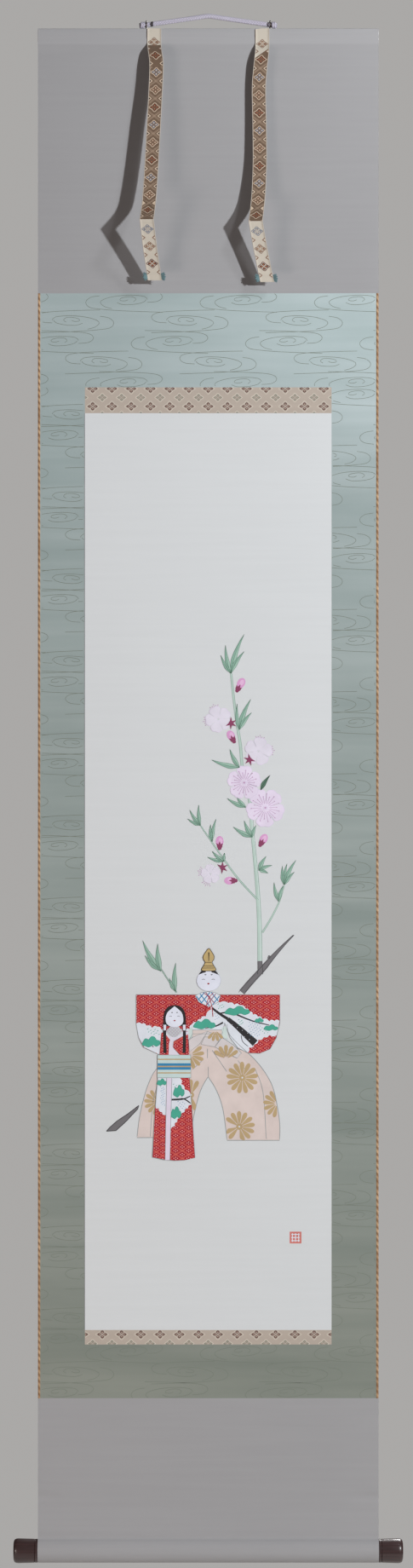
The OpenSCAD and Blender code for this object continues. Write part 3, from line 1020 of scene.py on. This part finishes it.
def mum(ink, x, up, radius, keep, first=0, last=13, layer=2):
    """A chrysanthemum, or the part of one that has petals first to last, of thirteen."""
    for k in range(first, last):
        a = math.radians(8) + k * math.tau / 13
        c, s = math.cos(a), math.sin(a)
        shape = [(0.16, 0), (0.45, 0.09), (0.75, 0.14), (0.93, 0.105), (1.0, 0), (0.93, -0.105),
                 (0.75, -0.14), (0.45, -0.09)]
        petal = on_doll([(x + radius * (p * c - q * s), up + radius * (p * s + q * c)) for p, q in shape])
        if sum(keep(p) for p in petal) > 5:
            ink.area(smooth([p for p in petal if keep(p)], closed=True, step=1.5), "tan", layer)
    heart = on_doll([(x, up)])[0]
    if keep(heart) and last - first == 13:
        ink.oval(*heart, radius * 0.2, radius * 0.2, "tan", layer)
        ink.oval(*heart, 1.1, 1.1, "white", layer + 1, sides=8)


def pine(ink, x, up, wide, tall, layer=3):
    """A clump of pine: a flat-bottomed cushion with rounded humps."""
    humps = [(-0.5, -0.28), (-0.44, 0.02), (-0.3, 0.3), (-0.14, 0.2), (0.02, 0.48), (0.2, 0.42),
             (0.3, 0.16), (0.46, 0.1), (0.5, -0.22), (0.3, -0.44), (0.12, -0.3), (-0.1, -0.5),
             (-0.32, -0.4)]
    ring = [(x + wide * a, up + tall * b) for a, b in humps]
    ink.outlined(smooth(on_doll(ring), closed=True, step=1.5), "pine", "pine_dark", 0.4, layer)


def flecks(ink, area, count, colour, long, layer):
    """Short slanting strokes scattered through an area (x0, up0, x1, up1) of the dolls' clothes."""
    x0, up0, x1, up1 = area
    for k in range(count):
        x = x0 + (x1 - x0) * ((k * 0.618) % 1)
        up = up0 + (up1 - up0) * (k + 0.5) / count
        slant = 0.6 + 0.5 * math.sin(3 * k)
        stroke = on_doll([(x, up), (x + long * math.cos(slant), up + long * math.sin(slant))])
        ink.line(stroke, 0.55, colour, layer)


def scallops(points, chord=7.5, depth=1.9):
    """The same edge as a row of small rounded bumps on its left."""
    out = []
    for a, b in zip(points, points[1:]):
        a, b = Vector(a), Vector(b)
        count = max(1, round((b - a).length / chord))
        side = Vector((a.y - b.y, b.x - a.x)).normalized()
        for i in range(count):
            for j in range(4):
                t = (i + j / 4) / count
                out.append(tuple(a.lerp(b, t) + side * depth * math.sin(math.pi * j / 4)))
    return out + [tuple(points[-1])]


def paint_trousers(ink):
    trousers = [p for edge in TROUSERS for p in smooth(on_doll(edge), step=4)]
    in_trousers = contains(trousers)
    ink.outlined(trousers, "peach", "grey_line", 0.9, 0)
    for x, up, radius, first, last in MUMS:
        mum(ink, x, up, radius, in_trousers, first, last)
    for pleat in ([(-1, -69), (-1, -81)], [(5, -71), (14, -84), (23.5, -98)],
                  [(-6.5, -83), (-13, -89), (-20, -95.5)],
                  [(0, -105), (0, -92)], [(60, -95), (70, -125), (74, -184)],
                  [(-60, -100), (-70, -135), (-74, -181)], [(38, -84), (44, -92), (50, -96)]):
        ink.line(smooth(on_doll(pleat), step=2), 0.7, "grey_line", 2, in_trousers)
    for fold in ([(-25, -44), (-19.8, -41), (-19.8, -53), (-25, -58)],
                 [(17.4, -42), (23, -40), (24.6, -57), (17.4, -54)]):
        ink.area(on_doll(fold), "mint", 5)
    ink.outlined(on_doll([(-20, -45), (17.5, -45), (17.5, -54), (-20, -54)]), "peach", "grey_line", 0.6, 6)
    for fold in ([(-19.8, -54.4), (-1, -46.6), (-11, -63), (-24, -73), (-25, -58)],
                 [(-1, -47), (17.4, -53.5), (8, -66.6), (-9.2, -63.3)],
                 [(17.4, -54.5), (32.4, -64.4), (42.4, -74.4), (36.8, -81), (9, -67)]):
        ink.outlined(on_doll(fold), "fold_white", "grey_line", 0.6, 7)
    for x, up, radius, first, last in FOLD_MUMS:
        mum(ink, x, up, radius, in_trousers, first, last, layer=9)


def paint_male():
    ink = Ink(on_face)
    paint_trousers(ink)
    robe = on_doll(ROBE)
    cloud = on_doll(scallops(CLOUD_TOP) + scallops(CLOUD_RIGHT) + CLOUD_HEM)
    in_robe, in_cloud = contains(robe), contains(cloud)
    ink.area(robe, "red", 3)
    lattice(ink, lambda p: in_robe(p) and not in_cloud(p), robe, 4)
    ink.area(cloud, "white", 4)
    for line, width, colour in BOUGHS:
        ink.line(smooth(on_doll(line), step=2), width, colour, 5)
    flecks(ink, (30, -38, 58, -62), 14, "white", 1.0, 6)
    for clump in PINES:
        pine(ink, *clump, layer=6)
    flecks(ink, (-78, -44, -63, -52), 10, "pine", 2.2, 6)
    flecks(ink, (12, -12, 20, -19), 6, "pine", 2.2, 6)
    flecks(ink, (38, -32, 44, -40), 6, "pine", 2.2, 6)
    flecks(ink, (51, -32, 66, -54), 34, "blue", 1.1, 6)
    flecks(ink, (66, -40, 76, -50), 10, "pine", 1.3, 6)
    flecks(ink, (8, -24, 14, -33), 6, "blue", 1.1, 6)
    ink.line(robe + robe[:1], 0.6, "grey_line", 8)
    paint_male_head(ink)
    return ink.build("painted_doll_in_trousers")


def paint_male_head(ink):
    """The collar with its tie, the plain white head and the gold hat."""
    collar = on_doll([(0, 4), (9, 2.5), (15.5, -1.5), (13, -9.5), (1, -15.5), (-12, -9.5), (-16.5, -1.5),
                      (-9, 2.5)])
    in_collar = contains(collar)
    ink.outlined(collar, "white", "grey_line", 0.6, 8)
    for slope in (-1, 1):
        for k in (-12, -5, 4, 11):
            points = [(k + slope * 0.8 * (v + 6), v) for v in spread(-16, 4, 1)]
            ink.line(on_doll(points), 1.2, "collar_red" if k == 4 else "blue", 9, in_collar)
    for tie in ([(-6, 2), (0, -3), (4, -14), (5.5, -28)], [(6, 2), (1, -3), (-2, -10), (-4, -22)]):
        ink.line(smooth(on_doll(tie, 0.5), step=1.5), 0.8, "red", 11)
    head = [(15.3 * a, 18 + 13.4 * b) for a, b in circle(32)]
    ink.outlined(on_doll(head, 0.6), "flesh", "face_line", 0.4, 11)
    for side in (-1, 1):
        ink.area(on_doll([(side * 12.8, 25.3), (side * 9.5, 30), (side * 3.6, 33), (side * 3.6, 28.6),
                          (side * 8, 27.4)], 0.5), "ink", 12)
        ink.oval(*on_doll([(side * 4, 25.6)], 0.4)[0], 1.2, 0.8, "brow", 13, sides=8)
        ink.line(on_doll([(side * 4.3, 19.3), (side * 6.3, 19.8), (side * 8.3, 19.2)], 0.2), 0.7, "brow",
                 13)
    ink.oval(*on_doll([(0, 14)], 0.2)[0], 1.4, 1.1, "deep_red", 13, sides=10)
    hat = [(0.4, 59), (3.6, 55.5), (7.2, 49), (6.6, 44.5), (4.6, 41.5), (6.4, 37.5), (9.4, 31.3),
           (0, 30.3), (-8.8, 31.3), (-6, 37.5), (-4.2, 41.5), (-6.2, 44.5), (-6.8, 49), (-2.8, 55.5)]
    ink.outlined(smooth(on_doll(hat, 0.3), closed=True, step=1.5), "hat", "umber", 0.7, 13)
    ink.line(on_doll([(0.4, 54), (0.4, 43)], 0.3), (1.6, 0.8), "umber", 15)
    for up, half in ((34, 7.2), (36.5, 6.2), (41.2, 3.8)):
        ink.line(on_doll([(-half, up), (half, up)], 0.3), 0.6, "umber", 15)


FEMALE_X = -43     # middle of the doll in the skirt
SKIRT = [(-21.5, -106), (19, -106), (22, -145), (24, -180), (26, -208), (13, -211), (0, -211.5),
         (-14, -210.5), (-28, -207.5), (-25, -150)]
SKIRT_REDS = [
    ([(-11.3, -153.5), (-16, -150), (-20, -145), (-24.6, -142)],
     [(-28, -207.5), (-14, -210), (-12, -210.5)]),
    ([(6.6, -106), (8.5, -114), (13, -121), (20.5, -127)], [(19, -106)]),
    ([(-5.4, -174.6), (0.6, -167.5), (6.6, -157.5), (13, -149.5), (21.7, -140.5)],
     [(24, -180), (26, -208), (13, -211), (0, -211.5), (-6, -211)]),
]
LAPEL = [(17.1, -47.2), (17.7, -50.5), (9.9, -53.3), (-1.2, -59.4), (-2.3, -66.6), (0, -69.9),
         (6.6, -76.8), (-7.6, -76.8), (-7, -62.2), (-5.6, -57.7), (-12, -50), (-10, -46)]


def paint_female():
    ink = Ink(on_face)
    x = FEMALE_X
    ink.outlined(on_doll(SKIRT, x), "white", "grey_line", 0.8, 14)
    for edge, rest in SKIRT_REDS:
        outline = on_doll(scallops(edge) + rest, x)
        ink.area(outline, "red", 15)
        lattice(ink, contains(outline), outline, 16)
    ink.area(on_doll([(-10, -106), (-3.4, -106), (-6, -211), (-12, -211)], x), "lilac", 18)
    for edge in ([(-10, -106), (-12, -211)], [(-3.4, -106), (-6, -211)]):
        ink.line(on_doll(edge, x), 0.6, "grey_line", 19)
    ink.line(on_doll([(-4, -134), (8, -133.5)], x), (2.2, 2.2), "ink", 17)
    for tip in ((20, -129.5), (20.5, -138.5)):
        ink.line(smooth(on_doll([(5, -133.8), (12, -133), tip], x), step=2), (2.0, 1.2), "ink", 17)
    flecks(ink, (x - 18, -117, x - 13, -142), 22, "blue", 1.1, 17)
    flecks(ink, (x + 4, -136, x + 14, -148), 12, "blue", 1.1, 17)
    flecks(ink, (x - 2, -114, x + 4, -122), 5, "pine", 1.8, 17)
    for clump in ((-16.5, -111.5, 12, 9), (5.4, -123, 14, 16), (1.8, -150.5, 13, 16)):
        pine(ink, x + clump[0], *clump[1:], layer=18)
    ink.outlined(on_doll([(-21.5, -77), (20.5, -77), (20.8, -106), (-22, -106)], x), "sash", "grey_line",
                 0.6, 19)
    ink.area(on_doll([(-21.5, -87.5), (20.6, -87.5), (20.7, -95.8), (-21.6, -95.8)], x), "blue", 20)
    for up, width in ((-82.5, 1.5), (-91.6, 1.6), (-99.8, 1.5)):
        ink.line(on_doll([(-21.3, up), (20.4, up)], x), width, "tan", 21)
    bodice = on_doll([(-16.7, -49), (-10, -46), (10, -46), (17, -47), (18.4, -77), (-19, -77)], x)
    ink.area(bodice, "red", 17)
    lattice(ink, contains(bodice), bodice, 18)
    ink.area(on_doll(LAPEL, x), "petal_back", 20)
    ink.line(on_doll(LAPEL[2:7], x), 0.5, "grey_line", 21)
    neck = on_doll([(-10.6, -48.8), (-8.9, -44.4), (-4.5, -40), (4.5, -40), (8.2, -44.4), (9.2, -48.8),
                    (3.3, -53.3),
               (-1, -54.6), (-6.2, -52.7)], x)
    in_neck = contains(neck)
    ink.area(neck, "collar", 21)
    for slope in (-1, 1):
        for k in (-9, -5, -1, 3, 7):
            points = [(k + slope * (v + 47), v) for v in spread(-55, -40, 1)]
            ink.line(on_doll(points, x), 0.5, "stamen" if k % 4 == 3 else "collar_line", 22, in_neck)
    for side in (-1, 1):
        lock = smooth(on_doll([(side * 12.6, -38), (side * 12.6, -56), (side * 12.2, -74.4)], x), step=2)
        ink.line(lock, (3.6, 4.0), "hair", 23)
    hair = [(0, -13.3), (7.5, -15.2), (12.6, -21.5), (14.2, -30), (14.4, -40), (-14, -40), (-13.9, -30),
            (-12.4, -21.5), (-7.4, -15.2)]
    ink.area(smooth(on_doll(hair[:5], x), step=2) + smooth(on_doll(hair[5:] + hair[:1], x), step=2),
             "hair", 24)
    right = smooth(on_doll([(0, -14.6), (4.5, -18.2), (9, -22.6), (11, -29), (10.6, -36), (5.8, -40.3),
                            (0, -41.4)], x))
    left = smooth(on_doll([(0, -41.4), (-5.8, -40.3), (-10.6, -36), (-11.2, -29), (-9, -22.6),
                           (-4.2, -18.2), (0, -14.6)], x))
    ink.area(right + left[1:-1], "flesh", 25)
    for side in (-1, 1):
        ink.area(on_doll([(side * 10.7, -36), (side * 14.5, -36), (side * 14.5, -40.5),
                          (side * 10.7, -40.5)], x),
                 "hair", 24)
        ink.area(on_doll([(side * 10.6, -38.4), (side * 14.2, -38.4), (side * 13.9, -45.5),
                          (side * 11, -45.5)], x),
                 "flesh", 26)
        ink.oval(*on_doll([(side * 3.2, -22.8)], x)[0], 1.1, 0.7, "brow", 27, sides=8)
        ink.line(on_doll([(side * 3.4, -27.6), (side * 5.1, -27.2), (side * 6.8, -27.7)], x), 0.6, "brow",
                 27)
    ink.oval(*on_doll([(0, -33)], x)[0], 1.2, 0.9, "deep_red", 27, sides=10)
    return ink.build("painted_doll_in_skirt")


def paint_rest():
    """The cut branch at the lower left, the seal, and the dark line down the painting's left edge."""
    ink = Ink(on_face)
    cut_end = [(-130, -916.3), (-125.5, -911.2), (-116.7, -903.4), (-103.3, -894.5), (-88.5, -883.4),
               (-90, -888), (-105.6, -904.5), (-117.8, -915.6)]
    ink.outlined(at(cut_end), "bark", "ink", 0.9, 0)
    x, down, side = 111.5, 1052, 15
    seal = at([(-side / 2, -side / 2), (side / 2, -side / 2), (side / 2, side / 2), (-side / 2, side / 2)],
              x, down)
    ink.area(seal, "seal", 0)
    for k in (-0.27, 0.0, 0.27):
        ink.line(at([(k * side, -side * 0.36), (k * side, side * 0.36)], x, down), 1.1, "white", 1)
        ink.line(at([(-side * 0.36, k * side), (side * 0.36, k * side)], x, down), 1.1, "white", 2)
    ink.line([(paint.x0 - 0.3, paint.z1), (paint.x0 - 0.3, paint.z0)], 0.6, "bark", 0)
    return ink.build("painted_branch_end_and_seal")


def build_painting():
    for obj in (paint_branch(), paint_male(), paint_female(), paint_rest()):
        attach(obj, "mounting")


# ---------- the bottom silk, the roller and its knobs ----------

BANDS = 8


def build_earth():
    """Silk and paper from the green silk down to the roller, in lengths that meet halfway down each CAD
    length.
    """
    heights = [EARTH_TOP]
    for k in range(1, BANDS + 1):
        box = Box(f"earth_silk_{k}")
        heights.append((box.z0 + box.z1) / 2)
    heights.append(pocket_top())
    xs = spread(cloth.x0, cloth.x1, 8)
    for k in range(BANDS + 1):
        top, bottom = heights[k], heights[k + 1]
        zs = spread(top, bottom, 1.3)
        for kind, node, material, depth in (("silk", "earth_silk", PLAIN, 0.0),
                                            ("paper", "earth_lining", PAPER, SILK)):
            obj = closed_grid(f"earth_{kind}_length_{k + 1}", face_grid(xs, zs, depth),
                              face_grid(xs, zs, depth + SILK), [material])
            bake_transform(obj)
            if k < BANDS:
                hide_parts(f"{node}_{k + 1}")


def pocket_top():
    gap = Box("earth_silk_1").z0 - Box("earth_silk_2").z1
    return Box(f"earth_silk_{BANDS}").z0 - gap / 2


def build_pocket():
    """The silk's last turn: out over the roller in an S, round it, and up its back."""
    pocket = Box("pocket_silk")
    centre_z, radius = (core.z0 + core.z1) / 2, (pocket.y1 - pocket.y0) / 2
    top = pocket_top() - centre_z
    turn = [math.radians(a) for a in range(62, 315, 7)]
    ahead = face(0, pocket_top()) - FACE
    s_curve = smooth([(ahead, top), (ahead - 0.35, top - 2.4), (ahead - 1.5, top - 5), (-7.9, 13.4),
                      (-11.1, 10.4)], step=1)
    round_part = [(-radius * math.sin(a), radius * math.cos(a)) for a in turn]
    path = s_curve + round_part + [(10.4, 11.1), (5.8, 15.8), (2 * SILK + 0.6 + ahead, top - 0.6)]
    xs = spread(cloth.x0, cloth.x1, 9)
    for name, node, material, inner, thick, slot in (
            ("roller_cloth", "pocket_silk", PLAIN, 0.0, SILK, "plain_silk"),
            ("roller_paper", "pocket_lining", PAPER, SILK + 0.02, SILK - 0.04, "lining_paper")):
        outside, inside = offset(path, -inner), offset(path, -inner - thick)
        front = [[(x, FACE + y, centre_z + z) for y, z in outside] for x in xs]
        back = [[(x, FACE + y, centre_z + z) for y, z in inside] for x in xs]
        obj = closed_grid(name, front, back, [material])
        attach(obj, "roller")
        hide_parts(node)
        length_of(front[0]) * MM


def build_knobs():
    """Turned and lacquered knobs with a fine groove, a little wider at the rounded outer end."""
    for hand, side in HANDS.items():
        box = Box(f"knob_{hand}")
        inner = box.x1 if side < 0 else box.x0
        length, r_out = box.x1 - box.x0, (box.z1 - box.z0) / 2
        r_in, r_groove, bore, depth = r_out - 0.6, r_out - 1.3, 6.0, 16.0
        profile = [(bore, depth), (bore, 0.1), (r_in - 0.6, 0.1), (r_in, 0.7), (r_in, 3.4), (r_groove, 3.9),
                   (r_in + 0.05, 4.4), (r_in + 0.1, 6), (r_in + 0.35, length * 0.5), (r_out, length - 6),
                   (r_out - 0.25, length - 3.6), (r_out - 1.1, length - 1.7), (r_out - 2.8, length - 0.5),
                   (r_out - 5, length), (r_out * 0.3, length), (0.05, length)]
        middle_y, middle_z = (box.y0 + box.y1) / 2, (box.z0 + box.z1) / 2
        sides = 72
        rings = []
        for r, x in [(0.05, depth)] + profile:
            rings.append([(inner + side * x, middle_y + r * a, middle_z + r * b) for a, b in circle(sides)])
        obj = tube(f"turned_knob_{hand}", rings, [DARK_WOOD])
        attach(obj, "roller")
        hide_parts(f"knob_{hand}")


# ---------- the cord ----------


def build_cord():
    """A flat braid; towards its ends it is two strands, one over the other."""
    line = smooth(CORD_ROUTE, step=1.0)
    sides = 24
    rings = []
    travelled = 0.0
    for i, point in enumerate(line):
        before, after = Vector(line[max(i - 1, 0)]), Vector(line[min(i + 1, len(line) - 1)])
        along = (after - before).normalized()
        up = Vector((-along.z, 0, along.x))
        travelled += (Vector(point) - Vector(line[max(i - 1, 0)])).length
        split = ease((abs(point[0]) - 18) / 12)
        ring = []
        for k in range(sides):
            a = math.tau * k / sides
            waist = 1 - 0.5 * split * math.exp(-(math.sin(a) / 0.28) ** 2)
            ridge = 1 + 0.035 * math.sin(travelled * 2.6 + 3 * a)
            depth, height = 1.9 * math.cos(a) * waist * ridge, 3.0 * math.sin(a) * ridge
            ring.append(tuple(Vector(point) + up * height + Vector((0, depth, 0))))
        rings.append(ring)
    obj = tube("cord", rings, [BRAID])
    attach(obj, "mounting")
    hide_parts("hanging_cord")
    for hand, side in HANDS.items():
        build_knot(hand, side)
    start = [c * MM for c in CORD_ROUTE[0]]
    round(length_of(line) * MM, 3)
    [[c * MM for c in p] for p in line]
    wrap_x = -72
    (x0, _, z0), (x1, _, z1) = CORD_HALF[1:3]
    wrap_z = z1 + (wrap_x - x1) * (z1 - z0) / (x1 - x0)     # the cord's own height at that place
    rings = []
    for dx, grow in ((-1.6, 0.0), (-1.5, 0.35), (-0.75, 0.25), (0, 0.4), (0.75, 0.25), (1.5, 0.35),
                     (1.6, 0.0)):
        rings.append([(wrap_x + dx, (2.0 + grow) * a, wrap_z + dx * 0.14 + (2.9 + grow) * b)
                      for a, b in circle(20)])
    wrap = tube("cord_wrap", rings, [BINDING])
    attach(wrap, "mounting")


def build_knot(hand, side):
    """Three turns of the braid that stop the cord outside its eyelet."""
    box = Box(f"cord_knot_{hand}")
    middle_z, radius, strand = (box.z0 + box.z1) / 2, 3.4, 1.15
    x0, x1 = (box.x1 - strand, box.x0 + strand) if side < 0 else (box.x0 + strand, box.x1 - strand)
    turns, steps = 3, 96
    rings = []
    for i in range(steps + 1):
        t = i / steps
        a = math.tau * turns * t
        outward = Vector((0, math.cos(a), math.sin(a)))
        centre = Vector((x0 + (x1 - x0) * t, 0, middle_z)) + outward * radius
        around = Vector((1, 0, 0))
        rings.append([tuple(centre + (outward * p + around * q) * strand) for p, q in circle(10)])
    obj = tube(f"cord_turns_{hand}", rings, [BRAID])
    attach(obj, "mounting")
    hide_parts(f"cord_knot_{hand}")
    return obj


# ---------- straps ----------

STRAP_T = 1.0     # thickness of a strap
STRAP_W = 18.0     # its width
STRAP_PITCH = 22.7     # from one flower to the next
FIRST_FLOWER = {"left": 17.5, "right": 20.0}     # the first flower, from the top of each strap
FIRST_LOW_FLOWER = 13.0     # and from the crease
PAINTED_SHADE_START = {"left": 1.5, "right": 14}     # where the painted shade starts, below the strap's hinge: the length below is drawn in the shaded copy of its cloth
PAINTED_SHADE_SLANT = {"left": 0.0, "right": -7.5}     # how far the edge of that painted shade slants to each side
LOWER_DRIFT = {"left": 10, "right": 15}     # how far right each strap's lower end is of its crease
# Places along each strap below the stave: (length down it, how far out, how far right) of a straight line.
STRAP_CURVE = {
    "left": [(12, 6, 1.5), (24, 8, 3.5), (36, 7.5, 4.4), (59, 4, 4.4), (104, -1.3, 3.9), (149, -7.5, 3.2),
             (189, -12, 2.4), (212, -12, 1.4)],
    "right": [(12, 3.5, 0), (24, 4.5, -0.8), (36, 3, -1.6), (59, -0.6, -2.2), (104, -6, 0.3),
              (149, -10.5, 2.4), (189, -11.5, 2.6), (212, -9.5, 1.5)],
}


def joint_place(name):
    found = next(j for j in frame["joints"] if j["name"] == name)
    return [v / MM for v in found["pos_m"]]


class Strap:
    """One strap's middle line, with a place for each (across, along) on its front."""

    def __init__(self, hand):
        self.hand = hand
        tab, lower = Box(f"strap_{hand}_tab"), Box(f"strap_{hand}_lower")
        middle, front = (tab.x0 + tab.x1) / 2, tab.y0 - STAVE_SWELL
        self.swing, self.crease = joint_place(f"strap_{hand}_swing"), joint_place(f"strap_{hand}_crease")
        swing, crease = Vector(self.swing), Vector(self.crease)
        swing.y = front
        fall = crease - swing
        out = Vector((0, fall.z, -fall.y)).normalized()
        points = [(middle, front, tab.z1), (middle, front, (tab.z0 + tab.z1) / 2), tuple(swing)]
        for along, belly, sideways in STRAP_CURVE[hand]:
            place = swing + fall * along / fall.length + out * belly
            points.append(tuple(place + Vector((sideways, 0, 0))))
        self.upper = smooth(points + [tuple(crease)], step=2.0)
        end = crease + Vector((LOWER_DRIFT[hand], lower.y1 - STRAP_T - crease.y, lower.z0 - crease.z))
        bow = (crease + end) / 2 + Vector((-0.5, 1.2, 0))
        self.lower = smooth([tuple(crease), tuple(bow), tuple(end)], step=2.0)

    def sheet_of(self, line):
        """place(u, v, lift) for a middle line: u across, v down along it."""
        lengths = [0.0]
        for a, b in zip(line, line[1:]):
            lengths.append(lengths[-1] + (Vector(b) - Vector(a)).length)

        def place(u, v, lift):
            v = min(max(v, 0.0), lengths[-1])
            i = next((k for k in range(len(lengths) - 2, 0, -1) if lengths[k] <= v), 0)
            a, b = Vector(line[i]), Vector(line[i + 1])
            before, after = Vector(line[max(i - 1, 0)]), Vector(line[min(i + 2, len(line) - 1)])
            t = (v - lengths[i]) / (lengths[i + 1] - lengths[i])
            along = (b - before).lerp(after - a, t)
            out = Vector((0, along.z, -along.y)).normalized()
            return tuple(a.lerp(b, t) + Vector((u, 0, 0)) + out * lift)

        return place, lengths[-1]


def strap_cloth(name, place, length, painted_shade_from=None, slant=0.0):
    """The strap's two sides and its piped edges."""
    across = [-1, -0.96, -0.9, -0.6, -0.3, 0, 0.3, 0.6, 0.9, 0.96, 1]
    alongs = spread(0, length, 2.0)

    def row(v, lift):
        out = []
        for t in across:
            piping = 0.35 if abs(t) == 0.96 else 0.0
            lean = 0.0
            # the edge of the painted shade slants across the strap
            if painted_shade_from and abs(v - painted_shade_from) < 40:
                lean = slant * t * (1 - abs(v - painted_shade_from) / 40)
            out.append(place(t * STRAP_W / 2, min(max(v + lean, 0), length),
                             lift + (piping if lift > -0.5 else -piping)))
        return out

    def slot_of(i, j):
        if j in (0, 1, len(across) - 3, len(across) - 2):
            return 1
        # slot 2 is the shaded copy of the cloth: painted shade on the strap's length past that start
        return 2 if painted_shade_from and alongs[i] >= painted_shade_from else 0

    front = [row(v, 0.0) for v in alongs]
    back = [row(v, -STRAP_T) for v in alongs]
    return closed_grid(name, front, back, [STRAP_PAINTED_LIT, PIPING, STRAP_PAINTED_SHADE], slot_of)


def strap_figures(place, length, first, start_colour, painted_shade_from):
    """Flowers down the strap's middle, with half flowers at both edges between them."""
    half = STRAP_W / 2 - 1.1
    ink = Ink(place, (-half, 0.3, half, length - 0.3))
    cycle = ["strap_blue", "strap_tan", "strap_red"]
    for count in range(math.ceil((length - 4 - first) / STRAP_PITCH)):
        v = first + count * STRAP_PITCH
        # on the painted shade the figures take their shaded look: dark grounds behind the flowers, pale
        # outlines and tips and slanting threads, standing in for light
        dark = painted_shade_from is not None and v > painted_shade_from
        colour = cycle[(start_colour + count) % 3]
        between = v + STRAP_PITCH / 2
        if dark:
            ink.area([(-6.6, v), (0, v - 5.6), (6.6, v), (0, v + 5.6)], "strap_painted_shade_ground", 0)
            for gap in (-1.1, 0.0, 1.1):
                for side in (-1, 1):
                    ink.line([(-side * half, between - 6.2 + gap), (side * half, between + 6.2 + gap)],
                             0.42, "strap_thread", 1)
        petal_flower(ink, 0, v, 5.6, 4.5, colour, "strap_heart" if colour == "strap_red" else "strap_light",
                     "strap_light" if dark else colour, 2)
        for side in (-1, 1):
            tip = [(side * half, between - 3.2), (side * (half - 3.8), between),
                   (side * half, between + 3.2)]
            ink.area(tip, "strap_light" if dark else "strap_tan", 2)
            ink.area([(side * half, between - 1.7), (side * (half - 2.2), between),
                      (side * half, between + 1.7)],
                     "strap_ink" if dark else "brocade_cream", 3)
    return ink


def build_straps():
    for hand in HANDS:
        strap = Strap(hand)
        swing = Vector(strap.swing) * MM
        crease = Vector(strap.crease) * MM
        place, length = strap.sheet_of(strap.upper)
        tab_end = strap.upper[0][2] - strap.swing[2]
        painted_shade_from = tab_end + PAINTED_SHADE_START[hand]
        top = strap_cloth(f"strap_{hand}_length", place, length, painted_shade_from, PAINTED_SHADE_SLANT[hand])
        figures = strap_figures(place, length, FIRST_FLOWER[hand], 1, painted_shade_from)
        figures = figures.build(f"strap_{hand}_figures")
        low_place, low_length = strap.sheet_of(strap.lower)
        bottom = strap_cloth(f"strap_{hand}_end_length", low_place, low_length)
        low_figures = strap_figures(low_place, low_length, FIRST_LOW_FLOWER, 0, None)
        low_figures = low_figures.build(f"strap_{hand}_end_figures")
        for obj in (top, figures):
            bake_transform(obj)
        for obj in (bottom, low_figures):
            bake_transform(obj)
        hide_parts(f"strap_{hand}_tab", f"strap_{hand}_upper")
        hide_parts(f"strap_{hand}_lower")
        tassel = build_tassels(strap, low_place, low_length)


def build_tassels(strap, place, length):
    """A tuft of thread outside each lower corner, in many thin strands."""
    verts, faces = [], []

    def strand(start, end, radius):
        base, along = len(verts), (end - start).normalized()
        one = along.orthogonal().normalized()
        two = along.cross(one)
        steps = [(0.0, 0.5), (0.25, 1.0), (0.7, 1.0), (1.0, 0.45)]
        for t, wide in steps:
            centre = start.lerp(end, t)
            verts.extend(tuple(centre + (one * p + two * q) * radius * wide) for p, q in circle(6))
        faces.append(tuple(base + k for k in range(6)))
        faces.append(tuple(base + 18 + k for k in reversed(range(6))))
        for r in range(3):
            for k in range(6):
                n = (k + 1) % 6
                faces.append((base + 6 * r + k, base + 6 * r + n, base + 6 * r + 6 + n,
                              base + 6 * r + 6 + k))

    for side in (-1, 1):
        for i in range(36):
            spin = i * 2.4
            rise = math.sin(spin) * (0.35 + 0.65 * ((i * 7) % 36) / 36)
            start = Vector(place(side * (STRAP_W / 2 - 0.6), length - 5.4 - 3.4 * rise, -STRAP_T / 2))
            out = (5.6 + 0.8 * math.cos(5 * i)) * (1 - 0.3 * rise ** 2)
            strand(start, start + Vector((side * out, 1.8 * math.cos(spin), 2.8 * rise)), 0.62)
    obj = mesh_object(f"tassel_{strap.hand}", verts, faces, [TASSEL])
    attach(obj, f"strap_{strap.hand}_end")
    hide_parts(f"strap_{strap.hand}_tassels")
    return obj


# ---------- stage ----------


def add_floor():
    radius, z, sides = 1600, -2350, 64
    ring = [(radius * a, 200 + radius * b) for a, b in circle(sides)]
    floor = tube("floor", [[(x, y, h) for x, y in ring] for h in (z, z - 20)],
                 [woven("floor_mat", rgb(226, 224, 220), thread=3, relief=0.05)])


def finish_cad_parts():
    """The carried-over CAD parts take the finished materials."""
    for node, material in (("top_stave", BARE_WOOD), ("roller_core", BARE_WOOD), ("eyelet_left", METAL),
                           ("eyelet_right", METAL)):
        mesh = frame["nodes"][node].data
        mesh.materials.clear()
        mesh.materials.append(material)


add_camera()
build_cord()
add_world()
add_light("key", (2450, -2600, 0), (0, 0, -1100), 150, 124, (0.97, 0.99, 1.0))
add_light("near_lamp", (620, -600, 300), (140, 0, -280), 120, 1.9, (0.98, 0.99, 1.0))
add_light("low_fill", (-1900, -1700, -1700), (0, 0, -900), 900, 20, (1.0, 0.87, 0.8))
add_light("back_fill", (900, 2400, 300), (0, 0, -900), 1200, 60)
add_floor()
build_heaven()
build_panels()
build_water()
build_brocade()
build_painting()
build_earth()
build_pocket()
build_knobs()
build_straps()
finish_cad_parts()
bpy.context.scene.view_settings.view_transform = "Standard"
